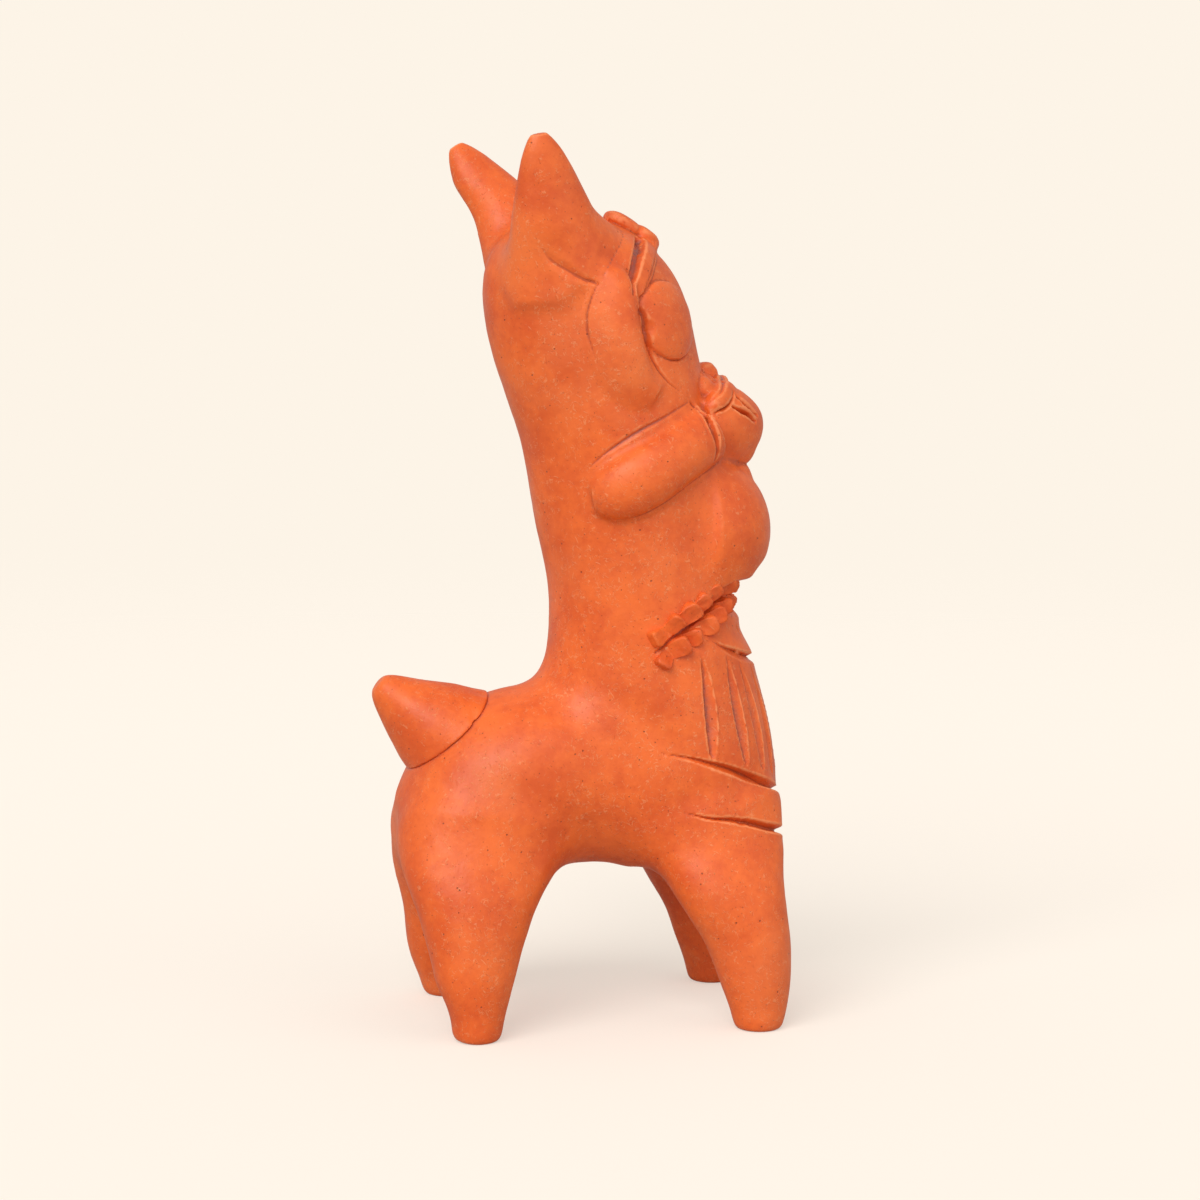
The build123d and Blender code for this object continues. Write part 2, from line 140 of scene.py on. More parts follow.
def soft_union(a, b, fillet):
    """The smaller of two distances, with a fillet of about that many mm where they meet."""
    both = np.maximum(fillet - np.abs(a - b), 0)
    return np.minimum(a, b) - both * both / (4 * fillet)


# %% [markdown]
# ## Pressing the pieces together
#
# The upright column is made of three lengths whose ends meet flush, so they are joined first and the thin
# gap that the grid sees at each joint is bridged. Then each piece gets the fillet that its join shows: the
# neck and the legs run wide into the barrel, the ears and the hands tighter. The straps, the eyes, the
# apron and other thin reliefs are modelled later. A second grid remembers which piece is nearest, so that
# the finished skin can be cut back into its named pieces.

# %% Press the pieces together
COLUMN = ("neck_lower", "neck_upper", "head")
COLUMN_JOINTS = (84.0, 126.0)
BRIDGE = 1.2
COLUMN_FILLET = 7.0
LEG_FILLETS = {"front_leg": 8.0, "rear_leg": 9.0}
SIDE_FILLETS = {"side_lock": 2.2, "forearm": 1.6, "hand": 1.6}


def on_both_sides(fillets):
    """The same fillets for a left and a right piece of each name."""
    return {f"{side}_{piece}": fillet for side in ("left", "right") for piece, fillet in fillets.items()}


JOINS = on_both_sides(LEG_FILLETS)
JOINS.update({"belly": 6.5, "left_ear": 5.0, "right_ear": 5.0})
JOINS.update(on_both_sides(SIDE_FILLETS))
JOINS.update({"nose": 0.8, "lip": 0.6})
THIN = ["rear_strap", "front_strap", "headband_knot", "left_eye", "right_eye", "apron", "hem_band",
        "belt_tab"]
PIECES = ["barrel", *COLUMN, *JOINS, *THIN]

nearest = np.full(GRID_SHAPE, REACH, np.float32)
owner = np.zeros(GRID_SHAPE, np.uint8)


def claim(name):
    """The distance to a node, after noting where that node is the nearest one."""
    box, distance = node_distance(name)
    closer = distance < nearest[box]
    nearest[box][closer] = distance[closer]
    owner[box][closer] = PIECES.index(name)
    return box, distance


def bridge(grid, height):
    """Takes away the gap at a flush joint: values a little below and above it are drawn straight across."""
    low, high = (round((height + shift - GRID_LOW[2]) / VOXEL) for shift in (-BRIDGE, BRIDGE))
    share = np.linspace(0, 1, high - low + 1, dtype=np.float32)[1:-1]
    grid[:, :, low + 1:high] = grid[:, :, [low]] * (1 - share) + grid[:, :, [high]] * share


column = np.full(GRID_SHAPE, REACH, np.float32)
for name in COLUMN:
    box, distance = claim(name)
    column[box] = np.minimum(column[box], distance)
for height in COLUMN_JOINTS:
    bridge(column, height)
clay = np.full(GRID_SHAPE, REACH, np.float32)
box, distance = claim("barrel")
clay[box] = distance
clay = soft_union(clay, column, COLUMN_FILLET)
del column
for name, fillet in JOINS.items():
    box, distance = claim(name)
    clay[box] = soft_union(clay[box], distance, fillet)
for name in THIN:
    claim(name)
print("pressed", len(PIECES), "pieces;", int((clay < 0).sum() * VOXEL ** 3), "cubic mm, hollows open")

# %% [markdown]
# ## Closing the hollow
#
# The real barrel and column are hollow, but no one sees inside. Keeping the inner walls would double the
# mesh, so the hollow is found by flooding a coarse grid from outside, with the tail in its socket as a
# stopper, and is filled.

# %% Fill the hollow
COARSE_STEP = 2.0
COARSE = round(COARSE_STEP / VOXEL)
LEAK = 0.6
tail_box, tail_distance = node_distance("tail")
plugged = clay.copy()
plugged[tail_box] = np.minimum(plugged[tail_box], tail_distance)
coarse = plugged[::COARSE, ::COARSE, ::COARSE]


def spread(mask):
    """The mask, grown by one cell along each axis."""
    wide = np.pad(mask, 1)
    grown = mask.copy()
    for axis in range(3):
        for shift in (-1, 1):
            grown |= np.roll(wide, shift, axis)[1:-1, 1:-1, 1:-1]
    return grown


outside = np.zeros(coarse.shape, bool)
outside[0] = True
filled = 0
while filled != outside.sum():
    filled = outside.sum()
    outside = spread(outside) & (coarse > LEAK)
hollow = spread(spread((coarse > LEAK) & ~outside))
for axis in range(3):
    hollow = np.repeat(hollow, COARSE, axis)
hollow = hollow[tuple(slice(0, n) for n in GRID_SHAPE)]
clay[hollow] = np.minimum(clay[hollow], -DEEP)
print("filled;", int((clay < 0).sum() * VOXEL ** 3), "cubic mm now")
del plugged, outside, hollow, nearest

# %% [markdown]
# ## Measuring the clay again
#
# After so many fillets the numbers in the grid are no longer true distances. Meshing the surface and
# measuring from that mesh makes them true again. From here on, adding 1 to the grid lowers the surface by 1
# mm, which is what every modelling tool below relies on.

# %% True distances
THICK = 3.0


def surface_of(grid):
    """The zero surface of a grid, in mm from the grid's corner, as points and quads."""
    level = vdb.FloatGrid(THICK)
    level.copyFromArray(np.clip(grid, -THICK, THICK))
    level.transform = SPACING
    return level.convertToQuads(0.0)


def true_distance(grid):
    """The grid, with true distances to its zero surface."""
    points, quads = surface_of(grid)
    level = vdb.FloatGrid.createLevelSetFromPolygons(
        points.astype(np.float32), quads=quads.astype(np.uint32), transform=SPACING,
        exBandWidth=THICK / VOXEL, inBandWidth=THICK / VOXEL)
    measured = np.empty(GRID_SHAPE, np.float32)
    level.copyToArray(measured)
    return measured


clay = true_distance(clay)
print("measured again; nearest and deepest", clay.max().round(2), clay.min().round(2))

# %% [markdown]
# ## Reading the grid
#
# A mark has to lie on the finished surface, not near it. These helpers read the grid between its points,
# find the outward direction, and move a point along it until it sits on the clay.


# %% Surface helpers
PROBE = 0.35
LEAST_SLOPE = 0.4


def blend(grid, cell, part):
    """The values at the corners of each point's cell, weighted by how far into the cell the point lies."""
    total = np.zeros(len(cell), part.dtype)
    for corner in np.ndindex(2, 2, 2):
        weight = np.prod(np.where(corner, part, 1 - part), axis=1)
        i, j, k = (cell + corner).T
        total += weight * grid[i, j, k]
    return total


def sample(grid, points):
    """The grid's values at points given in mm."""
    place = np.clip((points - GRID_LOW) / VOXEL, 0, GRID_SHAPE - 1.001)
    cell = place.astype(np.int32)
    return blend(grid, cell, (place - cell).astype(np.float32))


def slope_of(grid, points):
    """How fast the grid's values rise along each axis."""
    rise = [sample(grid, points + PROBE * axis) - sample(grid, points - PROBE * axis) for axis in np.eye(3)]
    return np.stack(rise, 1) / (2 * PROBE)


def unit(vectors):
    return vectors / np.maximum(np.linalg.norm(vectors, axis=-1, keepdims=True), 1e-6)


def outward(grid, points):
    """Unit vectors that point out of the clay."""
    return unit(slope_of(grid, points))


def settle(grid, points, rounds=6):
    """The points, moved onto the clay."""
    for _ in range(rounds):
        slope = slope_of(grid, points)
        steep = np.maximum((slope ** 2).sum(1, keepdims=True), LEAST_SLOPE)
        points = points - sample(grid, points)[:, None] * slope / steep
    return points


HEAD_TURN = math.radians(8.0)
HEAD_AXIS_X = 2.0
TURN_FROM = 98.0
TURN_TO = 128.0


def other_side(points):
    """The same places on the figure's left. The head is turned, so its mirror plane turns with it."""
    turn = 2 * HEAD_TURN * np.clip((points[:, 2] - TURN_FROM) / (TURN_TO - TURN_FROM), 0, 1)
    x = points[:, 0] - HEAD_AXIS_X
    y = points[:, 1]
    return np.stack([HEAD_AXIS_X + x * np.cos(turn) + y * np.sin(turn),
                     x * np.sin(turn) - y * np.cos(turn), points[:, 2]], 1)


def across_front(line):
    """A line that reaches the middle of the front, carried on along the figure's left."""
    line = np.array(line, float)
    return np.concatenate([line, other_side(line)[-2::-1]])


def flowing(points, spacing=0.4):
    """A smooth line through a few points, as a row of close points."""
    points = np.array(points, float)
    p = np.concatenate([2 * points[:1] - points[1:2], points, 2 * points[-1:] - points[-2:-1]])
    row = []
    for a, b, c, d in zip(p[:-3], p[1:-2], p[2:-1], p[3:]):
        steps = max(2, int(np.linalg.norm(c - b) / spacing))
        t = np.arange(steps)[:, None] / steps
        row.append(b + t / 2 * (c - a + t * (2 * a - 5 * b + 4 * c - d + t * (3 * b - 3 * c + d - a))))
    return np.concatenate([*row, p[-2:-1]])


def smooth(value):
    """0 below 0, 1 above 1 and an easy curve between."""
    value = np.clip(value, 0, 1)
    return value * value * (3 - 2 * value)


def soft_noise(points, size, seed):
    """Smooth random values from -1 to 1 that change over about that many mm."""
    place = (points - GRID_LOW) / size + 1
    cell = np.floor(place).astype(int)
    lattice = np.random.default_rng(seed).uniform(-1, 1, np.ceil(GRID_SIZE / size).astype(int) + 4)
    return blend(lattice, cell, smooth(place - cell))


# %% [markdown]
# ## Modelling tools
#
# A potter finishes a figure with few tools: a thumb that presses or builds up a soft patch, pellets that
# are pressed on, and a stick that draws lines. Each is a function here. A stroke has a profile, which says
# how deep it goes at each distance to the side of its line, so the same tool cuts grooves and V cuts, and
# raises bands and ledges.


# %% Thumb and pellet
def block_of(low, high):
    """The part of the grid between two corners, and its lowest index."""
    start = np.maximum(np.floor((low - GRID_LOW) / VOXEL).astype(int), 0)
    stop = np.minimum(np.ceil((high - GRID_LOW) / VOXEL).astype(int) + 1, GRID_SHAPE)
    return tuple(slice(a, b) for a, b in zip(start, stop)), start


def close_points(low, high):
    """The grid points near the surface between two corners: their indices and their places in mm."""
    block, start = block_of(low, high)
    index = np.argwhere(np.abs(clay[block]) < THICK - VOXEL) + start
    return tuple(index.T), GRID_LOW + index * VOXEL


def thumb(place, reach, height, both=False):
    """Builds up a soft round patch of clay, or presses it in where the height is below 0."""
    middle = np.array([place], float)
    for centre in (middle, other_side(middle)) if both else (middle,):
        index, points = close_points(centre[0] - reach, centre[0] + reach)
        share = np.clip(1 - ((points - centre) ** 2).sum(1) / reach ** 2, 0, 1)
        clay[index] -= height * share ** 2


def pellet(centre, sizes, along, facing, power=2.0, fillet=0.6, both=True):
    """Presses on a pellet with half sizes along, across and out. A power above 2 makes it squarer."""
    centre = np.array([centre], float)
    facing = unit(np.array(facing, float))
    along = np.array(along, float)
    along = unit(along - facing * (along @ facing))
    axes = np.stack([along, np.cross(facing, along), facing])
    reach = max(sizes) + THICK
    for side in (False, True) if both else (False,):
        middle = other_side(centre)[0] if side else centre[0]
        block, start = block_of(middle - reach, middle + reach)
        index = np.moveaxis(np.indices(clay[block].shape), 0, -1).reshape(-1, 3) + start
        points = GRID_LOW + index * VOXEL
        points = other_side(points) if side else points
        local = np.abs((points - centre) @ axes.T) / sizes
        size = np.maximum((local ** power).sum(1) ** (1 / power), 1e-3)
        slope = np.sqrt((((local / size[:, None]) ** (power - 1) / sizes) ** 2).sum(1))
        distance = np.maximum((size - 1) / np.maximum(slope, 0.05), -THICK).astype(np.float32)
        distance = distance.reshape(clay[block].shape)
        clay[block] = soft_union(clay[block], distance, fillet)


def rub(low, high, size):
    """Rubs the clay between two corners smooth over that many mm, and less towards the sides of the box."""
    block, _ = block_of(np.array(low), np.array(high))
    soft = clay[block]
    for _ in range(round(2 * (size / VOXEL) ** 2)):
        for axis in range(3):
            wide = np.concatenate([soft.take([0], axis), soft, soft.take([-1], axis)], axis)
            wide = np.moveaxis(wide, axis, 0)
            soft = np.moveaxis((wide[:-2] + 2 * wide[1:-1] + wide[2:]) / 4, 0, axis)
    share = np.float32(1)
    for axis, count in enumerate(soft.shape):
        edge = smooth(2 - 4 * np.abs(np.linspace(-0.5, 0.5, count))).astype(np.float32)
        share = share * edge.reshape([-1 if n == axis else 1 for n in range(3)])
    clay[block] += share * (soft - clay[block])


# %% Stroke
# The dark grid holds painted shade along the lines; the purple grid holds the purple-brown residue.
SHADE_AND_STAINS = {"dark": np.zeros(GRID_SHAPE, np.float16), "purple": np.zeros(GRID_SHAPE, np.float16)}
ROUGH_STEP = 5
LEAST_SHARE = 0.02
BURR_WIDTH = 0.2


def nearest_on(path, points):
    """For each point the number of the nearest place on the path, and the square of the distance."""
    which = np.zeros(len(points), np.int32)
    best = np.full(len(points), np.inf)
    for number, stop in enumerate(path):
        away = ((points - stop) ** 2).sum(1)
        closer = away < best
        best[closer] = away[closer]
        which[closer] = number
    return which, best


def stroke(points, depth, profile, reach, shape=(0.15, 1, 1, 0.15), shade_and_stain=None, both=True):
    """Lowers the surface along a line by depth times profile, or raises it where depth is below 0.

    The profile is asked for distances to the side of the line, above 0 on its left as seen from outside.
    The shape scales depth and width along the line. A dark line gets painted shade, a purple one residue.
    """
    for side in (False, True) if both else (False,):
        line = np.array(points, float)
        path = settle(clay, flowing(other_side(line) if side else line))
        along = unit(np.gradient(path, axis=0))
        across = unit(np.cross(outward(clay, path), along)) * (-1 if side else 1)
        size = np.interp(np.linspace(0, 1, len(path)), np.linspace(0, 1, len(shape)), shape)
        index, near = close_points(path.min(0) - reach, path.max(0) + reach)
        _, rough = nearest_on(path[::ROUGH_STEP], near)
        kept = rough < (reach + THICK) ** 2
        index = tuple(i[kept] for i in index)
        near = near[kept]
        which, _ = nearest_on(path, near)
        offset = near - path[which]
        run = (offset * along[which]).sum(1)
        past = np.where((which == 0) & (run < 0) | (which == len(path) - 1) & (run > 0), run, 0)
        aside = (offset * across[which]).sum(1)
        aside = np.hypot(aside, past) * np.sign(aside)
        share = np.maximum(size[which], LEAST_SHARE)
        amount = share * profile(aside / share)
        clay[index] += (depth * amount).astype(np.float32)
        if shade_and_stain:
            SHADE_AND_STAINS[shade_and_stain][index] = np.maximum(SHADE_AND_STAINS[shade_and_stain][index], np.clip(amount, 0, 1) ** 2)


def groove(width, burr=0.08):
    """A round-bottomed line, with a little burr pushed up on both sides."""
    half = width / 2

    def profile(aside):
        cut = np.cos(np.clip(aside / half, -1, 1) * math.pi / 2) ** 2
        return cut - burr * np.exp(-((np.abs(aside) - half - 0.15) / BURR_WIDTH) ** 2)

    return profile


def vee(steep, slant, burr=0.08):
    """A V cut: a steep side on the line's right, and a slanting side on its left that ends in a burr."""
    def profile(aside):
        cut = np.clip(np.where(aside < 0, 1 + aside / steep, 1 - aside / slant), 0, 1)
        return cut - burr * np.exp(-((aside - slant - 0.1) / BURR_WIDTH) ** 2)

    return profile


def ledge(drop, fade):
    """A step: full height at the line, falling over drop on its right and slowly over fade on its left."""
    return lambda aside: np.where(aside < 0, smooth(1 + aside / drop), np.clip(1 - aside / fade, 0, 1) ** 2)


def band(width, edge):
    """A flat strip with a sloping edge of that breadth on both sides."""
    return lambda aside: smooth((width / 2 - np.abs(aside)) / edge + 0.5)


# %% [markdown]
# ## Thumb work on the body
#
# No thrown shape stays exact once the legs and ears are pressed on. These soft patches follow the
# photograph's outline: the nape a little fuller, the far ear's root slimmer, the arch between the legs
# rounder, and some dents and swellings.

# %% Thumb work
thumb((-13.8, -2.0, 122.0), 18.0, 0.4)
thumb((-9.0, -2.0, 101.0), 18.0, 0.9)
thumb((-19.5, 15.0, 157.5), 10.0, -1.9)
thumb((12.0, 0.0, 30.5), 15.0, -1.2)
thumb((10.0, -14.0, 32.0), 9.0, -0.7, both=True)
thumb((-5.6, -15.0, 30.0), 10.0, 1.6, both=True)
pellet((-2.5, 0.0, 36.0), (11.5, 7.0, 4.2), (0, 1, 0), (0, 0, 1), 2.0, 3.0, both=False)
thumb((19.7, -20.0, 26.0), 11.0, 0.8, both=True)
thumb((39.8, -12.0, 24.0), 12.0, -0.6, both=True)
thumb((-30.8, -19.6, 4.0), 9.0, -0.7)
thumb((-30.8, 20.0, 9.0), 12.0, 1.0)
thumb((-35.6, -5.0, 41.0), 15.0, -0.4)
thumb((-34.5, 13.0, 38.0), 13.0, -1.2)
thumb((41.0, -6.0, 37.0), 10.0, -1.0)
thumb((33.6, -3.0, 88.5), 6.0, -1.0)
thumb((25.2, 3.3, 131.6), 3.4, -1.0)
thumb((3.6, -13.6, 151.4), 4.5, -0.5, both=True)
thumb((2.6, -8.0, 158.6), 6.0, 0.9, both=True)
thumb((-9.0, -16.6, 150.0), 8.0, -0.5, both=True)
thumb((-12.0, -17.5, 60.0), 13.0, 0.5, both=True)
thumb((4.0, -17.5, 52.0), 11.0, -0.5, both=True)
rub((-15.0, -24.0, 22.0), (9.0, 24.0, 44.0), 2.6)
print("thumbed; the surface now has", int((np.abs(clay) < VOXEL).sum()), "grid points on it")

# %% [markdown]
# ## The head
#
# The headband is two flat straps that part below a flattened knot, with a wedge-shaped gap between them.
# The eye is a smooth oval dome in a shallow valley, with a lid line above it. The nose is three lobes, with
# a roll of lip below it on each side.

# %% Head forms
EYE_PLACE = (16.3, -11.9, 139.3)
EYE_FACING = (0.643, -0.765, 0.0)
EYE_UP = (-0.16, -0.13, 1.0)
EYE_HALF_WIDTH = 7.8
EYE_HALF_HEIGHT = 7.7
EYE_HEIGHT = 1.8
EYE_EDGE = 0.42
EYE_REACH = 1.4 * EYE_HALF_HEIGHT
EYE_POINTS = 12


def eye_axes():
    """Unit vectors across the eye, up it and out of it."""
    facing = unit(np.array(EYE_FACING))
    up = unit(np.array(EYE_UP))
    return np.cross(up, facing), up, facing


def eye_line(size, start, stop):
    """Points round the right eye, between two angles in degrees that count from its front edge upwards."""
    across, up, _ = eye_axes()
    turns = np.radians(np.linspace(start, stop, EYE_POINTS))
    return [np.array(EYE_PLACE) + size * (EYE_HALF_WIDTH * math.cos(turn) * across
                                          + EYE_HALF_HEIGHT * math.sin(turn) * up) for turn in turns]


def eye_dome():
    """Raises both eyes: a low dome whose edge rises steeply out of the head."""
    across, up, facing = eye_axes()
    for side in (False, True):
        centre = np.array([EYE_PLACE])
        middle = other_side(centre)[0] if side else centre[0]
        index, points = close_points(middle - EYE_REACH, middle + EYE_REACH)
        offset = (other_side(points) if side else points) - centre
        away = np.hypot(offset @ across / EYE_HALF_WIDTH, offset @ up / EYE_HALF_HEIGHT)
        near = np.abs(offset @ facing) < EYE_HALF_WIDTH
        clay[index] -= (EYE_HEIGHT * near * np.clip(1 - away ** 2, 0, 1) ** EYE_EDGE).astype(np.float32)


LOCK_FRONT = [(8.2, -16.6, 144.4), (9.5, -15.6, 141.5), (10.2, -15.4, 139.2), (10.7, -15.4, 136.4),
              (11.4, -15.1, 133.1), (13.3, -14.7, 129.6), (15.9, -13.8, 126.8), (18.9, -12.1, 124.8)]
FRONT_BAND = [(8.4, -16.6, 142.0), (9.3, -15.9, 144.5), (10.9, -14.2, 147.4), (12.2, -11.5, 150.4),
              (13.2, -8.0, 152.5), (13.6, -4.0, 154.4), (13.8, 1.66, 155.2)]
STRAP_GAP = [(11.9, -4.4, 155.4), (10.9, -9.0, 153.6), (9.8, -12.6, 151.2), (8.6, -15.4, 147.6),
             (7.7, -17.4, 144.2)]
STRAP_REAR = [(7.4, -5.4, 157.5), (7.6, -7.6, 155.9), (6.4, -10.9, 153.9), (4.9, -13.1, 151.9),
              (3.4, -14.8, 149.6), (2.0, -16.3, 147.4)]
STRAP_FRONT = [(14.4, -5.4, 153.0), (14.2, -7.6, 152.0), (13.6, -10.6, 150.0), (12.4, -13.0, 147.6),
               (10.7, -14.2, 144.8)]
# Lines marked dark get painted shade along them; lines marked purple get the purple-brown residue.
stroke(LOCK_FRONT, 1.0, groove(1.3, 0), 1.4, (0.3, 1, 1, 0.8, 0.5, 0.2), "dark")
eye_dome()
thumb((10.6, -15.8, 137.6), 2.4, -0.8, both=True)
stroke(across_front(FRONT_BAND), -0.7, band(3.2, 0.5), 2.4,
       (0.5, 0.9, 1.05, 1.05, 0.95, 0.8, 0.8, 0.8, 0.95, 1.05, 1.05, 0.9, 0.5), both=False)
stroke(STRAP_GAP, 1.4, band(2.0, 0.4), 1.8, (1, 1, 0.8, 0.3), "purple")
pellet((9.2, 1.1, 157.9), (4.0, 3.8, 1.7), (0.83, 0.12, -0.52), (0.52, 0.07, 0.85), 2.6, 0.35, both=False)
pellet((13.6, 1.7, 155.3), (3.4, 3.8, 1.7), (0.80, 0.12, -0.60), (0.60, 0.08, 0.80), 2.6, 0.2, both=False)
pellet((26.9, 3.5, 127.9), (2.4, 2.5, 2.4), (1, 0, 0), (0, 0, 1), 2.0, 0.3, both=False)
pellet((23.8, -5.4, 125.6), (2.4, 2.4, 2.5), (1, 0, 0), (0, 0, 1), 2.0, 0.5)
pellet((27.6, -5.4, 123.9), (5.4, 2.6, 2.6), (0.5, 0.77, 0.4), (0.6, -0.6, 0.5), 2.0, 1.2)
print("head forms pressed on")

# %% Head lines
EYE_RIM = eye_line(0.99, 40, -120)
EYE_LID = eye_line(1.10, 115, 10)
LOCK_REAR = [(0.9, -16.4, 146.1), (-0.3, -16.5, 143.4), (-1.1, -16.5, 140.8), (-1.2, -16.5, 138.3),
             (-0.7, -16.7, 135.4), (0.6, -17.0, 131.6), (2.3, -17.4, 128.9)]
EAR_CREASE = [(-10.1, -14.0, 154.3), (-8.0, -15.3, 150.8), (-4.5, -16.2, 148.4), (-2.4, -15.8, 147.2),
              (-0.5, -15.9, 146.6), (1.0, -16.3, 146.1)]
MOUTH = [(25.2, -9.4, 123.4), (26.9, -8.4, 124.6), (27.9, -6.6, 125.8), (28.9, -3.0, 127.0),
         (29.6, 0.2, 127.4), (29.4, 3.85, 127.4)]
LIP_LINE = [(29.0, -5.0, 124.6), (27.6, -7.6, 122.6), (25.4, -10.6, 120.6)]
PUPIL = [[(17.6, -12.6, 139.6), (18.6, -11.8, 137.8), (19.0, -11.4, 136.4)],
         [(18.4, -11.8, 138.8), (19.4, -10.8, 137.0)]]
TICKS = (1.0, 0.3) * 13
stroke(EYE_RIM, 0.35, groove(0.7, 0.05), 0.8, (0.3, 0.6, 0.8, 0.8, 1, 1, 0.5), "dark")
stroke(EYE_LID, 0.55, groove(1.1, 0), 1.2, (0.1, 0.8, 1, 0.9, 0.3), "dark")
stroke(LOCK_REAR, 0.3, groove(0.75, 0.06), 0.8, (0.7, 1, 1, 0.6, 0.2), "dark")
stroke(EAR_CREASE, 0.45, groove(3.4, 0), 2.2, (0.1, 0.7, 1, 0.8, 0.2), both=False)
stroke(EAR_CREASE, 0.25, groove(0.9, 0), 0.8, (0.05, 0.2, 0.8, 1, 1), "dark", both=False)
stroke(STRAP_REAR, 0.28, groove(0.7, 0.1), 0.8, TICKS, "purple")
stroke(STRAP_FRONT, 0.35, groove(0.8, 0), 0.8, (0.15, 1, 1, 0.7), "dark")
stroke(across_front(MOUTH), 0.8, groove(1.9, 0.04), 1.6, (0.2, 0.5, 0.8, 1, 1, 1, 1, 0.8, 0.5, 0.2),
       "purple", both=False)
stroke(LIP_LINE, 0.9, groove(1.0, 0.06), 1.0, (0.4, 1, 1, 0.3), "dark")
for scratch in PUPIL:
    stroke(scratch, 0.14, groove(0.6, 0.25), 0.8)
rub((11.0, -3.5, 150.5), (18.0, 6.5, 156.5), 0.7)
print("head lines drawn")

# %% [markdown]
# ## Forearms and hands
#
# A broad purple line runs along the top of each forearm, a deep crescent parts it from the hand, and two
# sharp slits part the fingers.

# %% Forearms and hands
FOREARM_TOP = [(-0.8, -14.1, 110.3), (1.5, -15.4, 112.7), (5.1, -16.4, 115.4), (9.2, -16.4, 117.9),
               (13.3, -15.5, 119.9), (17.3, -13.6, 121.9), (19.8, -11.7, 123.2)]
FOREARM_UNDER = [(4.0, -16.0, 101.6), (9.2, -16.6, 102.6), (14.2, -16.3, 104.8), (19.7, -14.3, 108.1),
                 (25.3, -9, 111.7)]
CUFF = [(20.8, -11.4, 123.2), (22.6, -11.2, 121.9), (23.6, -12.6, 120.6), (24.3, -13.6, 118.4),
        (25.2, -13.8, 115.9), (25.3, -13.6, 113.6), (24.9, -13.0, 112.2)]
CUFF_RING = [(20.4, -12.7, 121.4), (21.7, -13.7, 120.2), (22.8, -15.1, 117.9), (23.5, -15.6, 115.2)]
FINGERS = [[(30.9, -6.2, 124.1), (33.2, -6.0, 122.6), (35.9, -4.4, 120.4)],
           [(29.6, -8.2, 122.4), (31.8, -7.6, 121.4), (33.7, -6.6, 120.5), (35.2, -5.4, 119.0)]]
thumb((33.6, 0.0, 110.5), 5.0, 1.4)
thumb((34.6, -2.6, 123.4), 5.0, -0.6, both=True)
stroke(FOREARM_TOP, 0.5, groove(1.4, 0.06), 1.6, (0.3, 0.9, 1, 0.7, 0.5), "purple")
stroke(FOREARM_UNDER, 0.4, groove(1.4, 0), 1.4, (0.2, 0.8, 1, 0.6))
stroke(CUFF, 1.4, vee(1.5, 0.5, 0.04), 2.0, (0.4, 0.9, 1, 0.5), "dark")
stroke(CUFF_RING, 0.16, groove(0.7, 0.2), 0.8)
for finger in FINGERS:
    stroke(finger, 1.9, groove(1.4, 0.08), 1.2, (0.4, 1, 1, 0.6), "dark")
print("arms drawn")

# %% [markdown]
# ## Apron, hem band and belt tab
#
# The apron is a sheet of clay laid round the chest and thumbed flush at the back, so it rises slowly from
# behind. Its pleats are V cuts with one steep and one slanting side. Two long slits bound the hem band
# below it, and the belt's tab overhangs its top edge.

# %% Apron
DRESS_HEIGHT = 1.0
DRESS_REAR = 13.0
DRESS_BLEND = 11.0
DRESS_FRONT = 45.0
DRESS_BOTTOM = 34.0
DRESS_TOP = 78.0
TOP_BLEND = 5.0
FALL_LEVELS = (36.0, 44.0, 50.0)
FALL_SHARES = (0.0, 0.4, 1.0)
HEM_UPPER = [(12.6, -17, 54.7), (15.1, -17.5, 54.5), (19, -17.7, 53.8), (23.1, -17.6, 52.6),
             (27.5, -16.6, 51.1), (32.2, -14.2, 48.9), (36.6, -10.8, 46.4), (39.2, -6.5, 45.0),
             (40.6, 0, 44.4)]
HEM_LOWER = [(16.8, -17.4, 43.1), (19.2, -17.5, 42.4), (23.2, -17.6, 41.6), (27.2, -17.6, 41.1),
             (31.4, -17, 40.1), (35.3, -15.4, 38.8), (38.8, -10, 37.2), (41.0, 0, 36.2)]
TAB_EDGE = [(23.4, -15.2, 77.0), (26.5, -13.4, 74.9), (29.9, -10.6, 73.3), (33.3, -7.1, 72.1), (35, 0, 71.4)]
TAB_SLIT = [(30.8, -7.6, 78.8), (31.7, -6.6, 76.6)]
PLEATS = [[(21.4, -16.8, 74.0), (21.9, -17.2, 69.1), (22.4, -17.8, 63.2), (23.1, -18.3, 54.4)],
          [(27.2, -13.8, 73.3), (27.8, -14.6, 68.6), (28.9, -15.3, 61.7), (30.5, -15.4, 52.6)],
          [(30.4, -11.6, 71.6), (31.9, -11.8, 66.1), (33.0, -12.1, 61.2), (34.8, -12.5, 51.0)],
          [(33.6, -7.6, 70.4), (35.1, -8.1, 63.5), (36.5, -8.7, 56.5), (37.4, -9.4, 49.6)],
          [(35.2, -2.6, 70.4), (36.8, -2.9, 63.0), (38.2, -3.2, 55.6), (39.2, -3.6, 48.4)]]


def lay_dress():
    """Raises the sheet of the apron and the hem band, flush at its back and easing out above and below."""
    low = np.array([DRESS_REAR, GRID_LOW[1], DRESS_BOTTOM])
    high = np.array([DRESS_FRONT, -GRID_LOW[1], DRESS_TOP])
    index, points = close_points(low, high)
    x, _, z = points.T
    fall = np.interp(z, FALL_LEVELS, FALL_SHARES)
    share = smooth((x - DRESS_REAR) / DRESS_BLEND) * fall * smooth((DRESS_TOP - z) / TOP_BLEND)
    clay[index] -= (DRESS_HEIGHT * share).astype(np.float32)


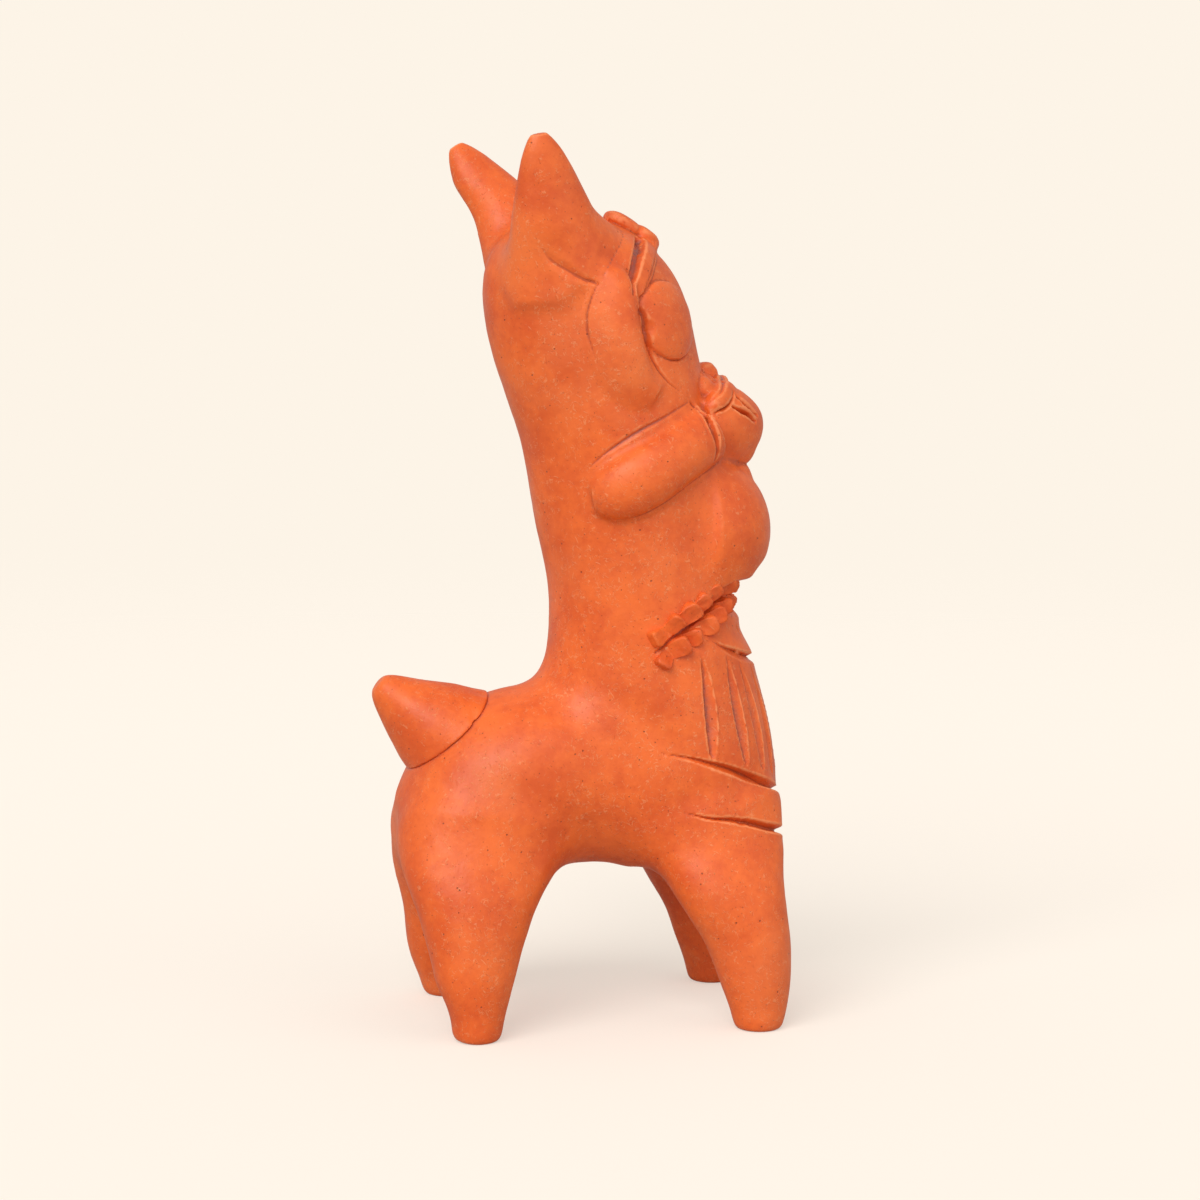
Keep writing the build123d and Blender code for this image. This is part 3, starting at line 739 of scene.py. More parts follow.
lay_dress()
tab_edge = across_front(TAB_EDGE)
stroke(tab_edge, -0.4, ledge(0.4, 5.0), 5.4, (0.3, 1, 1, 0.7, 1, 1, 0.3), both=False)
stroke(tab_edge, 1.6, vee(1.2, 0.9, 0), 2.2, (0.1, 0.8, 1, 1, 1, 0.8, 0.1), "dark", both=False)
stroke(TAB_SLIT, 0.5, groove(0.7, 0.05), 0.8, (0.5, 1, 0.3), "dark")
for pleat in PLEATS:
    stroke(pleat, 1.15, vee(0.5, 2.0, 0.2), 2.6, (0.15, 0.75, 1, 1, 0.6), "purple")
stroke(across_front(HEM_UPPER), 1.9, vee(1.4, 0.9, 0.04), 2.6,
       (0.05, 0.4, 0.8, 1, 1, 0.8, 0.6, 0.8, 1, 1, 0.8, 0.4, 0.05), "dark", both=False)
stroke(across_front(HEM_LOWER), 1.8, groove(2.1, 0.03), 2.4,
       (0.05, 0.5, 0.9, 1, 0.9, 0.7, 0.9, 1, 0.9, 0.5, 0.05), "dark", both=False)
print("dress laid and cut")

# %% [markdown]
# ## A seat for the belt
#
# The plait lies in a shallow hollow that deepens towards the front, so that it doesn't stand out of the
# outline there. A dark groove along its middle shows between its two rows.

# %% Belt seat
PLAIT_MIDDLE = [(12.2, -17, 74.6), (16.1, -17, 77.6), (20.7, -15.9, 80.4), (25.1, -13.3, 83.2),
                (29.0, -9.5, 84.8), (31.2, -4, 84.6), (31.6, 0, 84.4)]
belt_line = across_front(PLAIT_MIDDLE)
stroke(belt_line, 2.7, band(7.0, 3.0), 5.0, (0.08, 0.16, 0.4, 0.9, 1, 0.9, 0.4, 0.16, 0.08), both=False)
belt_path = settle(clay, flowing(belt_line, spacing=0.2))
belt_out = outward(clay, belt_path)
stroke(belt_line, 1.2, groove(2.6, 0), 1.8, (0.2, 0.8, 1, 0.8, 0.4, 0.8, 1, 0.8, 0.2), "purple",
       both=False)
print("belt seat pressed in")

# %% [markdown]
# ## Small marks
#
# A few short scratches and nicks of the kind that the photograph shows: on the saddle, the rump, the legs,
# the nape and below the belt.

# %% Small marks
NICKS = [[(-6.0, -3.6, 70.6), (-5.2, -6.2, 70.9)], [(-4.6, -7.0, 71.4), (-4.3, -7.4, 69.4)],
         [(-24.0, -17.4, 44.0), (-21.6, -18.0, 42.6)], [(-6.0, -18.2, 46.0), (-4.2, -18.2, 45.2)],
         [(-28.6, -22.6, 20.0), (-29.2, -22.6, 16.4)], [(-12.6, -17.2, 136.0), (-12.0, -16.8, 132.6)],
         [(-14.4, -15.6, 133.0), (-12.6, -16.4, 130.6)], [(-11.0, -16.6, 131.4), (-9.6, -16.8, 129.6)],
         [(25.0, -25.0, 18.0), (26.4, -25.4, 15.0)], [(22.0, -17.9, 48.6), (23.4, -17.9, 47.8)],
         [(17.4, -17.7, 49.2), (18.0, -17.7, 47.2)], [(17.4, -17.6, 66.0), (17.6, -17.7, 63.6)]]
for nick in NICKS:
    stroke(nick, 0.13, groove(0.6, 0.9), 0.9, (0.5, 1, 0.4), both=False)
print("nicks", len(NICKS))

# %% [markdown]
# ## The tail's socket
#
# The tail is a loose plug, so the barrel keeps the round hole that its tenon drops into. The tail's cone is
# left a little fuller at its foot than the solid, so that the seam round it stays as tight as the
# photograph shows, with small chips along it. Its upper side is pressed in a little towards the tip.

# %% Tail socket
TAIL_BASE = np.array([-25.8, 0.0, 56.8])
TAIL_RISE = math.radians(37.5)
TAIL_AXIS = np.array([-math.cos(TAIL_RISE), 0.0, math.sin(TAIL_RISE)])
SOCKET_RADIUS = 4.9
SOCKET_DEPTH = 14.0
SOCKET_EDGE = 0.35
SEAM_FROM = 6.0
SEAM_EASE = 1.5
SEAM_FILL = 0.29
FILL_END = 9.0
FILL_EASE = 4.0
CHIP_DEPTH = 0.5
CHIP_SIZE = 2.2
CHIP_END = 3.0
CHIP_SEED = 12
TOP_PRESS = 0.7
TOP_EASE = 6.0
TOP_LENGTH = 12.0


def tail_place(points):
    """How far along the tail's axis points lie, and how far from it."""
    along = (points - TAIL_BASE) @ TAIL_AXIS
    return along, np.linalg.norm(points - TAIL_BASE - along[:, None] * TAIL_AXIS, axis=1)


def grid_places(box):
    """The places in mm of all grid points in a block."""
    index = np.moveaxis(np.indices([s.stop - s.start for s in box]), 0, -1).reshape(-1, 3)
    return GRID_LOW + (index + [s.start for s in box]) * VOXEL


socket_box, _ = block_of(TAIL_BASE - 2 * SOCKET_DEPTH, TAIL_BASE + SOCKET_DEPTH)
along, radial = tail_place(grid_places(socket_box))
socket = np.maximum(radial - SOCKET_RADIUS, -SOCKET_DEPTH - along).reshape(clay[socket_box].shape)
clay[socket_box] = -soft_union(-clay[socket_box], socket.astype(np.float32), SOCKET_EDGE)
tail_points = grid_places(tail_box)
along, radial = tail_place(tail_points)
off_tenon = smooth((radial - SEAM_FROM) / SEAM_EASE)
fill = SEAM_FILL * off_tenon * smooth((FILL_END - along) / FILL_EASE)
above = (tail_points - TAIL_BASE) @ np.array([math.sin(TAIL_RISE), 0.0, math.cos(TAIL_RISE)])
fill -= TOP_PRESS * smooth(above / TOP_EASE) * np.clip(along / TOP_LENGTH, 0, 1)
chips = np.maximum(soft_noise(tail_points, CHIP_SIZE, CHIP_SEED), 0) * smooth((CHIP_END - along) / CHIP_END)
fill -= CHIP_DEPTH * chips * off_tenon
tail_clay = np.full(GRID_SHAPE, REACH, np.float32)
tail_clay[tail_box] = tail_distance - fill.reshape(tail_distance.shape)
print("socket cut", SOCKET_DEPTH, "mm deep from the tail's base")

# %% [markdown]
# ## From grid to skin
#
# The zero level of the grid becomes a mesh of even quads. Each vertex then slides onto the exact surface,
# and a slow waver of a tenth of a millimetre or two takes away the machine-made evenness.


# %% Skin helpers
def skin_of(grid):
    """The grid's surface as points in mm and quads that face outwards."""
    points, quads = surface_of(grid)
    points = settle(grid, points + GRID_LOW, 2)
    a, b, c, d = (points[quads[:, n]] for n in range(4))
    facing = np.einsum("ij,ij->i", np.cross(c - a, d - b), outward(grid, (a + c) / 2)).sum()
    return points, quads[:, ::-1].astype(np.int64) if facing < 0 else quads.astype(np.int64)


def normals_of(points, quads):
    """Smooth normals of the whole skin, so that pieces cut from it meet without a seam."""
    a, b, c, d = (points[quads[:, n]] for n in range(4))
    face = np.cross(c - a, d - b)
    total = np.zeros_like(points)
    for axis in range(3):
        for n in range(4):
            total[:, axis] += np.bincount(quads[:, n], face[:, axis], len(points))
    return unit(total)


WAVER = ((13.0, 0.20, 3), (5.0, 0.07, 4), (1.8, 0.025, 5))
FLOOR_ZONE = 1.5


def hand_made(points, quads):
    """The skin with its slow unevenness, the floor side kept flat."""
    move = sum(height * soft_noise(points, size, seed) for size, height, seed in WAVER)
    lift = np.clip(points[:, 2:] / FLOOR_ZONE, 0, 1)
    moved = points + normals_of(points, quads) * move[:, None] * lift
    moved[:, 2] = np.maximum(moved[:, 2], 0)
    return moved


skin, quads = skin_of(clay)
print("skin of", len(skin), "points and", len(quads), "quads")

# %% [markdown]
# ## Marks that the finish will use
#
# Three numbers are kept on every vertex: how far it lies in a dark line, how far in a purple one, and how
# sharp the surface bends there. The finish paints shade into the dark lines and the hollows, and lightens
# the ridges as rubbed wear with a painted highlight.

# %% Marks
BEND_ROUNDS = 3


def bend_of(points, quads, normals):
    """Above 0 on ridges and below 0 in hollows: how far each point stands off its neighbours' mean."""
    pairs = np.concatenate([quads[:, [n, (n + 1) % 4]] for n in range(4)])
    count = np.maximum(np.bincount(pairs[:, 0], minlength=len(points)), 1)

    def around(values):
        return np.bincount(pairs[:, 0], values[pairs[:, 1]], len(points)) / count

    mean = np.stack([around(points[:, axis]) for axis in range(3)], 1)
    bend = ((points - mean) * normals).sum(1) * 4 / VOXEL ** 2
    for _ in range(BEND_ROUNDS):
        bend = (bend + around(bend)) / 2
    return np.clip(bend, -1, 1)


def marks_of(points, quads, normals):
    """The three marks of every point, by name."""
    marks = {name: sample(grid, points) for name, grid in SHADE_AND_STAINS.items()}
    marks["bend"] = bend_of(points, quads, normals)
    return marks


# %% [markdown]
# ## Cutting the skin back into pieces
#
# Every part of the skin goes to the piece that it lies nearest to. Each piece takes the normals of the
# whole skin, so that no seam shows between neighbours, and its open edges are capped inside the clay.


# %% Pieces
CAP_ROUNDS = 8
CAP_DEPTH = 1.2
SEAM_STAIN = 0.9
STAIN_MIDDLE = 0.1
STAIN_REACH = 0.5
STAIN_MEAN = 0.6
STAIN_CHANGE = 0.4
STAIN_SIZE = 1.6
STAIN_SEED = 11


def edge_loops(quads):
    """The open edges of a patch, grouped into loops: a list of arrays of edges."""
    edges = np.concatenate([quads[:, [n, (n + 1) % 4]] for n in range(4)])
    size = edges.max() + 1
    rim = edges[~np.isin(edges[:, 0] * size + edges[:, 1], edges[:, 1] * size + edges[:, 0])]
    root = {int(v): int(v) for v in rim.ravel()}

    def top(v):
        while root[v] != v:
            root[v] = root[root[v]]
            v = root[v]
        return v

    for a, b in rim:
        root[top(int(a))] = top(int(b))
    keys = np.array([top(int(a)) for a in rim[:, 0]])
    return [rim[keys == key] for key in np.unique(keys)]


def clay_piece(name, points, quads, normals, marks, grid):
    """A closed piece: a patch of the skin, with its open loops capped inside the clay."""
    used, index = np.unique(quads, return_inverse=True)
    faces = index.reshape(quads.shape)
    places = [points[used]]
    triangles = []
    count = len(used)
    for loop in edge_loops(faces):
        centre = points[used][loop[:, 0]].mean(0, keepdims=True)
        for _ in range(CAP_ROUNDS):
            inside = np.clip(sample(grid, centre) + CAP_DEPTH, 0, 1)
            centre = centre - inside[:, None] * outward(grid, centre)
        triangles.append(np.stack([loop[:, 1], loop[:, 0], np.full(len(loop), count)], 1))
        places.append(centre)
        count += 1
    mesh = bpy.data.meshes.new(name)
    caps = np.concatenate(triangles) if triangles else np.zeros((0, 3), int)
    mesh.from_pydata(np.concatenate(places) * MM, [], faces.tolist() + caps.tolist())
    mesh.polygons.foreach_set("use_smooth", np.arange(len(mesh.polygons)) < len(faces))
    given = np.zeros((len(mesh.loops), 3), np.float32)
    given[:faces.size] = normals[used][faces.ravel()]
    mesh.normals_split_custom_set(given)
    for mark, values in marks.items():
        kept = np.zeros(count, np.float32)
        kept[:len(used)] = values[used]
        mesh.attributes.new(mark, "FLOAT", "POINT").data.foreach_set("value", kept)
    return add_object(name, mesh)


spot = np.rint((skin[quads].mean(1) - GRID_LOW) / VOXEL).astype(int)
face_owner = owner[tuple(spot.T)]
marks = marks_of(skin, quads, normals_of(skin, quads))
seam = SEAM_STAIN * smooth(1.0 - np.abs(sample(tail_clay, skin) - STAIN_MIDDLE) / STAIN_REACH)
seam = seam * (STAIN_MEAN + STAIN_CHANGE * soft_noise(skin, STAIN_SIZE, STAIN_SEED))
marks["purple"] = np.maximum(marks["purple"], seam * (tail_place(skin)[1] > SEAM_FROM))
skin = hand_made(skin, quads)
skin_normals = normals_of(skin, quads)
clay_pieces = {}
for number, name in enumerate(PIECES):
    patch = quads[face_owner == number]
    clay_pieces[name] = clay_piece("clay_" + name, skin, patch, skin_normals, marks, clay)
    print("clay_" + name, 2 * len(patch), "triangles")

# %% [markdown]
# ## The tail
#
# The tail is made the same way from its own node, as a piece that can be lifted out. Its rim at the seam
# gets none of the ridge lightening, which is partly rubbed wear and partly painted highlight.

# %% Tail
tail_skin, tail_quads = skin_of(tail_clay)
tail_marks = marks_of(tail_skin, tail_quads, normals_of(tail_skin, tail_quads))
# The tail's rim at the seam gets no ridge lightening: no rubbed wear and no painted highlight.
at_seam = tail_place(tail_skin)[0] < CHIP_END
tail_marks["bend"] = np.where(at_seam, np.minimum(tail_marks["bend"], 0), tail_marks["bend"])
tail_skin = hand_made(tail_skin, tail_quads)
tail_normals = normals_of(tail_skin, tail_quads)
tail_piece = clay_piece("clay_tail", tail_skin, tail_quads, tail_normals, tail_marks, tail_clay)
print("clay_tail", 2 * len(tail_quads), "triangles")

# %% [markdown]
# ## The plaited belt
#
# The belt is a plait of blunt lumps in two rows. Each lump is a block with round edges that is narrower at
# its rear end and leans a little out of the row. The last two at each end are turned round, so that the
# plait ends bluntly. What repeats along a path suits Geometry Nodes: the path's points carry the direction
# along the belt and out of the clay, and each point gets one lump, on alternate sides.

# %% Geometry Nodes helpers
LUMP_STEP = 1.85
LUMP_LENGTH = 5.4
LUMP_WIDTH = 3.6
LUMP_HEIGHT = 5.2
LUMP_GIRTH = 0.82
LUMP_SWELL = 0.6
FACE_LEVEL = 0.23
FACE_RISE = 0.42
LUMP_LEAN = math.radians(14.0)
LUMP_TILT = math.radians(-8.0)
ROW_OFFSET = 2.0
BLUNT_ENDS = [0, 1, -2, -1]
END_SHIFT = 1.3
LUMP_SEED = 7
LEAN_SPREAD = (0.75, 1.3)
SIZE_SPREAD = (0.88, 1.12)
UNEVENNESS = 0.22
WOBBLE_SCALE = 480.0
FRONT_SIZE = 0.45
FRONT_ZONE = (0.1, 0.45)


def new_tree(name, sockets):
    """An empty geometry tree with a geometry input and output, and named number inputs."""
    tree = bpy.data.node_groups.new(name, "GeometryNodeTree")
    tree.interface.new_socket("Geometry", in_out="INPUT", socket_type="NodeSocketGeometry")
    tree.interface.new_socket("Geometry", in_out="OUTPUT", socket_type="NodeSocketGeometry")
    for title, value in sockets.items():
        socket = tree.interface.new_socket(title, in_out="INPUT", socket_type="NodeSocketFloat")
        socket.default_value = value
    return tree, tree.nodes.new("NodeGroupInput"), tree.nodes.new("NodeGroupOutput")


def place(tree, kind, settings=None, **inputs):
    """A node of that kind, with its settings, and each named input set to a value or linked to a socket."""
    node = tree.nodes.new(kind)
    for key, value in (settings or {}).items():
        setattr(node, key, value)
    for title, value in inputs.items():
        socket = node.inputs[int(title[1:])] if title[0] == "_" else node.inputs[title.replace("_", " ")]
        if isinstance(value, bpy.types.NodeSocket):
            tree.links.new(value, socket)
        else:
            socket.default_value = value
    return node


def math_node(tree, operation, a, b=0.0):
    return place(tree, "ShaderNodeMath", {"operation": operation}, _0=a, _1=b).outputs[0]


def times(tree, a, b):
    return math_node(tree, "MULTIPLY", a, b)


def plus(tree, a, b):
    return math_node(tree, "ADD", a, b)


def minus(tree, a, b):
    return math_node(tree, "SUBTRACT", a, b)


def vector_node(tree, operation, a, b=(0.0, 0.0, 0.0)):
    return place(tree, "ShaderNodeVectorMath", {"operation": operation}, _0=a, _1=b).outputs[0]


def dot(tree, a, b):
    return place(tree, "ShaderNodeVectorMath", {"operation": "DOT_PRODUCT"}, _0=a, _1=b).outputs["Value"]


def scaled(tree, vector, factor):
    return place(tree, "ShaderNodeVectorMath", {"operation": "SCALE"}, _0=vector, Scale=factor).outputs[0]


def plain_mesh(piece):
    """The evaluated result of the piece's modifiers as its own mesh, with the modifiers gone."""
    graph = bpy.context.evaluated_depsgraph_get()
    mesh = bpy.data.meshes.new_from_object(piece.evaluated_get(graph))
    piece.modifiers.clear()
    piece.data = mesh
    return piece


# %% Plait tree
def lump_shape(tree):
    """A block of size 1 with round edges, narrower at its rear end, with a flat face that rises forwards."""
    ball = place(tree, "GeometryNodeMeshIcoSphere", Radius=0.5, Subdivisions=4)
    spot = place(tree, "GeometryNodeInputPosition").outputs[0]
    squares = vector_node(tree, "MULTIPLY", spot, spot)
    fourth_root = math_node(tree, "POWER", dot(tree, squares, squares), 0.25)
    block = scaled(tree, spot, math_node(tree, "DIVIDE", 0.5, fourth_root))
    axes = place(tree, "ShaderNodeSeparateXYZ", Vector=block)
    swell = plus(tree, LUMP_GIRTH, times(tree, axes.outputs["X"], LUMP_SWELL))
    face = plus(tree, FACE_LEVEL, times(tree, axes.outputs["X"], FACE_RISE))
    top = math_node(tree, "MINIMUM", axes.outputs["Z"], face)
    shaped = place(tree, "ShaderNodeCombineXYZ", X=axes.outputs["X"],
                   Y=times(tree, axes.outputs["Y"], swell),
                   Z=times(tree, top, swell))
    return place(tree, "GeometryNodeSetPosition", Geometry=ball.outputs["Mesh"], Position=shaped.outputs[0])


def random_value(tree, low, high, seed):
    node = place(tree, "FunctionNodeRandomValue", {"data_type": "FLOAT"}, _2=low, _3=high, Seed=seed)
    return node.outputs[1]


def plait_tree():
    """The tree that lays one lump on each point of a path, on alternate sides of it."""
    tree, group_in, group_out = new_tree("plait", {
        "Lump length": LUMP_LENGTH * MM, "Lump width": LUMP_WIDTH * MM, "Lump height": LUMP_HEIGHT * MM,
        "Lean": LUMP_LEAN, "Tilt": LUMP_TILT, "Row offset": ROW_OFFSET * MM, "Unevenness": UNEVENNESS * MM})
    kinds = {"out": "FLOAT_VECTOR", "along": "FLOAT_VECTOR", "side": "FLOAT", "size": "FLOAT"}
    named = {title: place(tree, "GeometryNodeInputNamedAttribute", {"data_type": kind}, Name=title).outputs[0]
             for title, kind in kinds.items()}
    across = vector_node(tree, "CROSS_PRODUCT", named["out"], named["along"])
    reach = times(tree, times(tree, named["side"], named["size"]), group_in.outputs["Row offset"])
    points = place(tree, "GeometryNodeMeshToPoints", Mesh=group_in.outputs["Geometry"])
    moved = place(tree, "GeometryNodeSetPosition", Geometry=points.outputs[0],
                  Offset=scaled(tree, across, reach))
    upright = place(tree, "FunctionNodeAlignRotationToVector", {"axis": "Z"}, Vector=named["out"])
    turned = place(tree, "FunctionNodeAlignRotationToVector", {"axis": "X", "pivot_axis": "Z"},
                   Rotation=upright.outputs[0], Vector=named["along"])
    lean = times(tree, times(tree, named["side"], group_in.outputs["Lean"]),
                 random_value(tree, *LEAN_SPREAD, LUMP_SEED))
    twist = place(tree, "ShaderNodeCombineXYZ", Y=group_in.outputs["Tilt"], Z=lean)
    rocked = place(tree, "FunctionNodeRotateRotation", {"rotation_space": "LOCAL"},
                   Rotation=turned.outputs[0], Rotate_By=twist.outputs[0])
    size = place(tree, "ShaderNodeCombineXYZ", X=group_in.outputs["Lump length"],
                 Y=group_in.outputs["Lump width"], Z=group_in.outputs["Lump height"])
    uneven = times(tree, named["size"], random_value(tree, *SIZE_SPREAD, LUMP_SEED + 1))
    copies = place(tree, "GeometryNodeInstanceOnPoints", Points=moved.outputs[0],
                   Instance=lump_shape(tree).outputs[0], Rotation=rocked.outputs[0],
                   Scale=scaled(tree, size.outputs[0], uneven))
    solid = place(tree, "GeometryNodeRealizeInstances", Geometry=copies.outputs[0])
    wobble = place(tree, "ShaderNodeTexNoise", Scale=WOBBLE_SCALE, Detail=2.0).outputs["Color"]
    wobble = scaled(tree, vector_node(tree, "SUBTRACT", wobble, (0.5, 0.5, 0.5)),
                    times(tree, group_in.outputs["Unevenness"], 4.0))
    rough = place(tree, "GeometryNodeSetPosition", Geometry=solid.outputs[0], Offset=wobble)
    easy = place(tree, "GeometryNodeSetShadeSmooth", Geometry=rough.outputs[0])
    finish = place(tree, "GeometryNodeSetMaterial", Geometry=easy.outputs[0],
                   Material=bpy.data.materials["plait"])
    tree.links.new(finish.outputs[0], group_out.inputs[0])
    return tree


def path_mesh(name, path, out, step):
    """A row of points on a path, each with the directions along it and out of the clay, its side and size."""
    run = np.concatenate([[0], np.cumsum(np.linalg.norm(np.diff(path, axis=0), axis=1))])
    stops = np.arange(0, run[-1] + step / 2, step)
    stops[BLUNT_ENDS] += [END_SHIFT, END_SHIFT, -END_SHIFT, -END_SHIFT]
    points, facing = (np.stack([np.interp(stops, run, values) for values in row.T], 1) for row in (path, out))
    along = unit(np.gradient(points, axis=0))
    along[len(along) // 2:] *= -1
    along[BLUNT_ENDS] *= -1
    mesh = bpy.data.meshes.new(name)
    mesh.from_pydata(points * MM, [], [])
    for title, values in (("along", along), ("out", unit(facing))):
        kept = mesh.attributes.new(title, "FLOAT_VECTOR", "POINT")
        kept.data.foreach_set("vector", values.ravel().astype(np.float32))
    middle = np.abs(np.linspace(-1, 1, len(points)))
    sides = np.where(np.arange(len(points)) % 2, 1.0, -1.0)
    sides[BLUNT_ENDS] *= -1
    numbers = {"side": sides, "size": np.interp(middle, FRONT_ZONE, [FRONT_SIZE, 1.0])}
    for title, values in numbers.items():
        mesh.attributes.new(title, "FLOAT", "POINT").data.foreach_set("value", values.astype(np.float32))
    return add_object(name, mesh)


# %% [markdown]
# ## Fired clay
#
# Terracotta is never one orange. It is mottled by the fire, pricked with pinholes where grit burned out,
# and scratched with short pale curls and strokes by the burnishing stone. Each effect is a node group, so
# that the plait can use the same ones with other values. The pinholes and strokes come from a cell pattern:
# a cell whose middle lies close to the surface draws one mark there, flat in the surface. The curls are
# broken contour lines of a soft noise.


# %% Finish helpers
def shader_group(name, inputs):
    """An empty effect with a mask to give: the group, the place on the clay, its inputs and its output."""
    group = bpy.data.node_groups.new(name, "ShaderNodeTree")
    for title, value in inputs.items():
        group.interface.new_socket(title, in_out="INPUT", socket_type="NodeSocketFloat").default_value = value
    group.interface.new_socket("Mask", in_out="OUTPUT", socket_type="NodeSocketFloat")
    where = place(group, "ShaderNodeTexCoord").outputs["Object"]
    return group, where, group.nodes.new("NodeGroupInput"), group.nodes.new("NodeGroupOutput")


def ramp(tree, value, low, high, to_low=0.0, to_high=1.0):
    """The value, eased from one range to another."""
    return place(tree, "ShaderNodeMapRange", {"interpolation_type": "SMOOTHSTEP"}, _0=value, _1=low, _2=high,
                 _3=to_low, _4=to_high).outputs[0]


def noise(tree, where, scale, detail=2.0, roughness=0.5, distortion=0.0):
    return place(tree, "ShaderNodeTexNoise", Vector=where, Scale=scale, Detail=detail, Roughness=roughness,
                 Distortion=distortion).outputs[0]


def flat_offset(tree, where, cells):
    """The way from a cell's middle to the surface point: its part in the surface, and its height off it."""
    normal = place(tree, "ShaderNodeTexCoord").outputs["Normal"]
    offset = vector_node(tree, "SUBTRACT", where, cells.outputs["Position"])
    height = dot(tree, offset, normal)
    return vector_node(tree, "SUBTRACT", offset, scaled(tree, normal, height)), height, normal


# %% Effect groups
MARK_DEPTH = 0.25 * MM


def fire_mottle():
    group, where, given, result = shader_group("fire_mottle", {"Patch scale": 90.0, "Speck scale": 600.0})
    patch = noise(group, where, given.outputs["Patch scale"], 4.0, 0.6)
    speck = noise(group, where, given.outputs["Speck scale"], 3.0, 0.6)
    both = plus(group, times(group, patch, 0.7), times(group, speck, 0.3))
    group.links.new(ramp(group, both, 0.34, 0.66), result.inputs["Mask"])
    return group


def chosen_cells(group, given, height, cells):
    """1 in the cells that draw a mark: a random share of those whose middle is near the surface."""
    pick = place(group, "ShaderNodeSeparateColor", Color=cells.outputs["Color"])
    lucky = math_node(group, "LESS_THAN", pick.outputs[0], given.outputs["Share"])
    near = math_node(group, "LESS_THAN", math_node(group, "ABSOLUTE", height), MARK_DEPTH)
    return math_node(group, "MULTIPLY", lucky, near), pick


def pinholes():
    group, where, given, result = shader_group(
        "pinholes", {"Scale": 400.0, "Radius": 0.16 * MM, "Share": 0.5})
    cells = place(group, "ShaderNodeTexVoronoi", Vector=where, Scale=given.outputs["Scale"])
    offset, height, _ = flat_offset(group, where, cells)
    chosen, pick = chosen_cells(group, given, height, cells)
    away = place(group, "ShaderNodeVectorMath", {"operation": "LENGTH"}, _0=offset).outputs["Value"]
    radius = times(group, given.outputs["Radius"], plus(group, pick.outputs[1], 0.45))
    hole = ramp(group, math_node(group, "DIVIDE", away, radius), 0.5, 1.1, 1.0, 0.0)
    group.links.new(times(group, hole, chosen), result.inputs["Mask"])
    return group


def burnish_curls():
    group, where, given, result = shader_group(
        "burnish_curls", {"Scale": 900.0, "Width": 0.03, "Break scale": 700.0, "Share": 0.5})
    field = noise(group, where, given.outputs["Scale"], 1.0, 0.5, 0.7)
    away = math_node(group, "ABSOLUTE", minus(group, field, 0.5))
    line = ramp(group, math_node(group, "DIVIDE", away, given.outputs["Width"]), 0.3, 1.0, 1.0, 0.0)
    rest = minus(group, 1.0, given.outputs["Share"])
    broken = minus(group, noise(group, where, given.outputs["Break scale"], 2.0), rest)
    patchy = ramp(group, noise(group, where, 75.0, 2.0), 0.38, 0.62, -0.08, 0.05)
    kept = ramp(group, plus(group, broken, patchy), 0.0, 0.05)
    group.links.new(times(group, line, kept), result.inputs["Mask"])
    return group


def burnish_strokes():
    group, where, given, result = shader_group("burnish_strokes", {
        "Scale": 300.0, "Length": 0.6 * MM, "Width": 0.07 * MM, "Curl": 500.0, "Share": 0.5})
    cells = place(group, "ShaderNodeTexVoronoi", Vector=where, Scale=given.outputs["Scale"])
    offset, height, normal = flat_offset(group, where, cells)
    chosen, pick = chosen_cells(group, given, height, cells)
    random = vector_node(group, "SUBTRACT", cells.outputs["Color"], (0.5, 0.5, 0.5))
    across = vector_node(group, "NORMALIZE", vector_node(group, "CROSS_PRODUCT", normal, random))
    along = vector_node(group, "CROSS_PRODUCT", across, normal)
    run = dot(group, offset, along)
    curl = times(group, given.outputs["Curl"], minus(group, pick.outputs[1], 0.3))
    bow = times(group, times(group, run, run), curl)
    aside = math_node(group, "ABSOLUTE", minus(group, dot(group, offset, across), bow))
    length = times(group, given.outputs["Length"], plus(group, pick.outputs[2], 0.3))
    reached = math_node(group, "DIVIDE", math_node(group, "ABSOLUTE", run), length)
    ends = ramp(group, reached, 0.5, 1.0, 1.0, 0.0)
    line = ramp(group, math_node(group, "DIVIDE", aside, given.outputs["Width"]), 0.3, 1.2, 1.0, 0.0)
    mask = times(group, times(group, line, ends), chosen)
    group.links.new(mask, result.inputs["Mask"])
    return group


EFFECTS = {make.__name__: make() for make in (fire_mottle, pinholes, burnish_curls, burnish_strokes)}
print("effects", list(EFFECTS))

# %% Clay material
CLAY = (0.87, 0.158, 0.025, 1.0)
CLAY_DARK = (0.70, 0.098, 0.015, 1.0)
# Pale scratches and curls, and a painted highlight on the sharpest ridges.
CLAY_PALE_AND_HIGHLIGHT = (1.0, 0.50, 0.24, 1.0)
# Lighter patches at random, and on ridges partly rubbed wear, partly painted highlight.
CLAY_BLOOM_RUB_AND_HIGHLIGHT = (0.93, 0.24, 0.070, 1.0)
# Painted shade in hollows; also the colour of the small dark burnish streaks.
SHADE_AND_STREAK_DARK = (0.50, 0.075, 0.018, 1.0)
# Painted shade along the dark lines.
PAINTED_LINE_SHADE = (0.36, 0.06, 0.022, 1.0)
PURPLE = (0.36, 0.12, 0.10, 1.0)
PINHOLE = (0.20, 0.035, 0.015, 1.0)
SHEEN_LEVEL = 0.4
BUMP_STRENGTH = 0.6
BUMP_HEIGHT = 0.22 * MM


def effect(tree, name, **values):
    return place(tree, "ShaderNodeGroup", {"node_tree": EFFECTS[name]}, **values).outputs["Mask"]


def mix(tree, share, a, b):
    """Colour a, turned into colour b by that share."""
    return place(tree, "ShaderNodeMix", {"data_type": "RGBA"}, _0=share, _6=a, _7=b).outputs[2]


def mark(tree, name):
    """One of the marks that the skin carries."""
    return place(tree, "ShaderNodeAttribute", {"attribute_name": name}).outputs["Fac"]


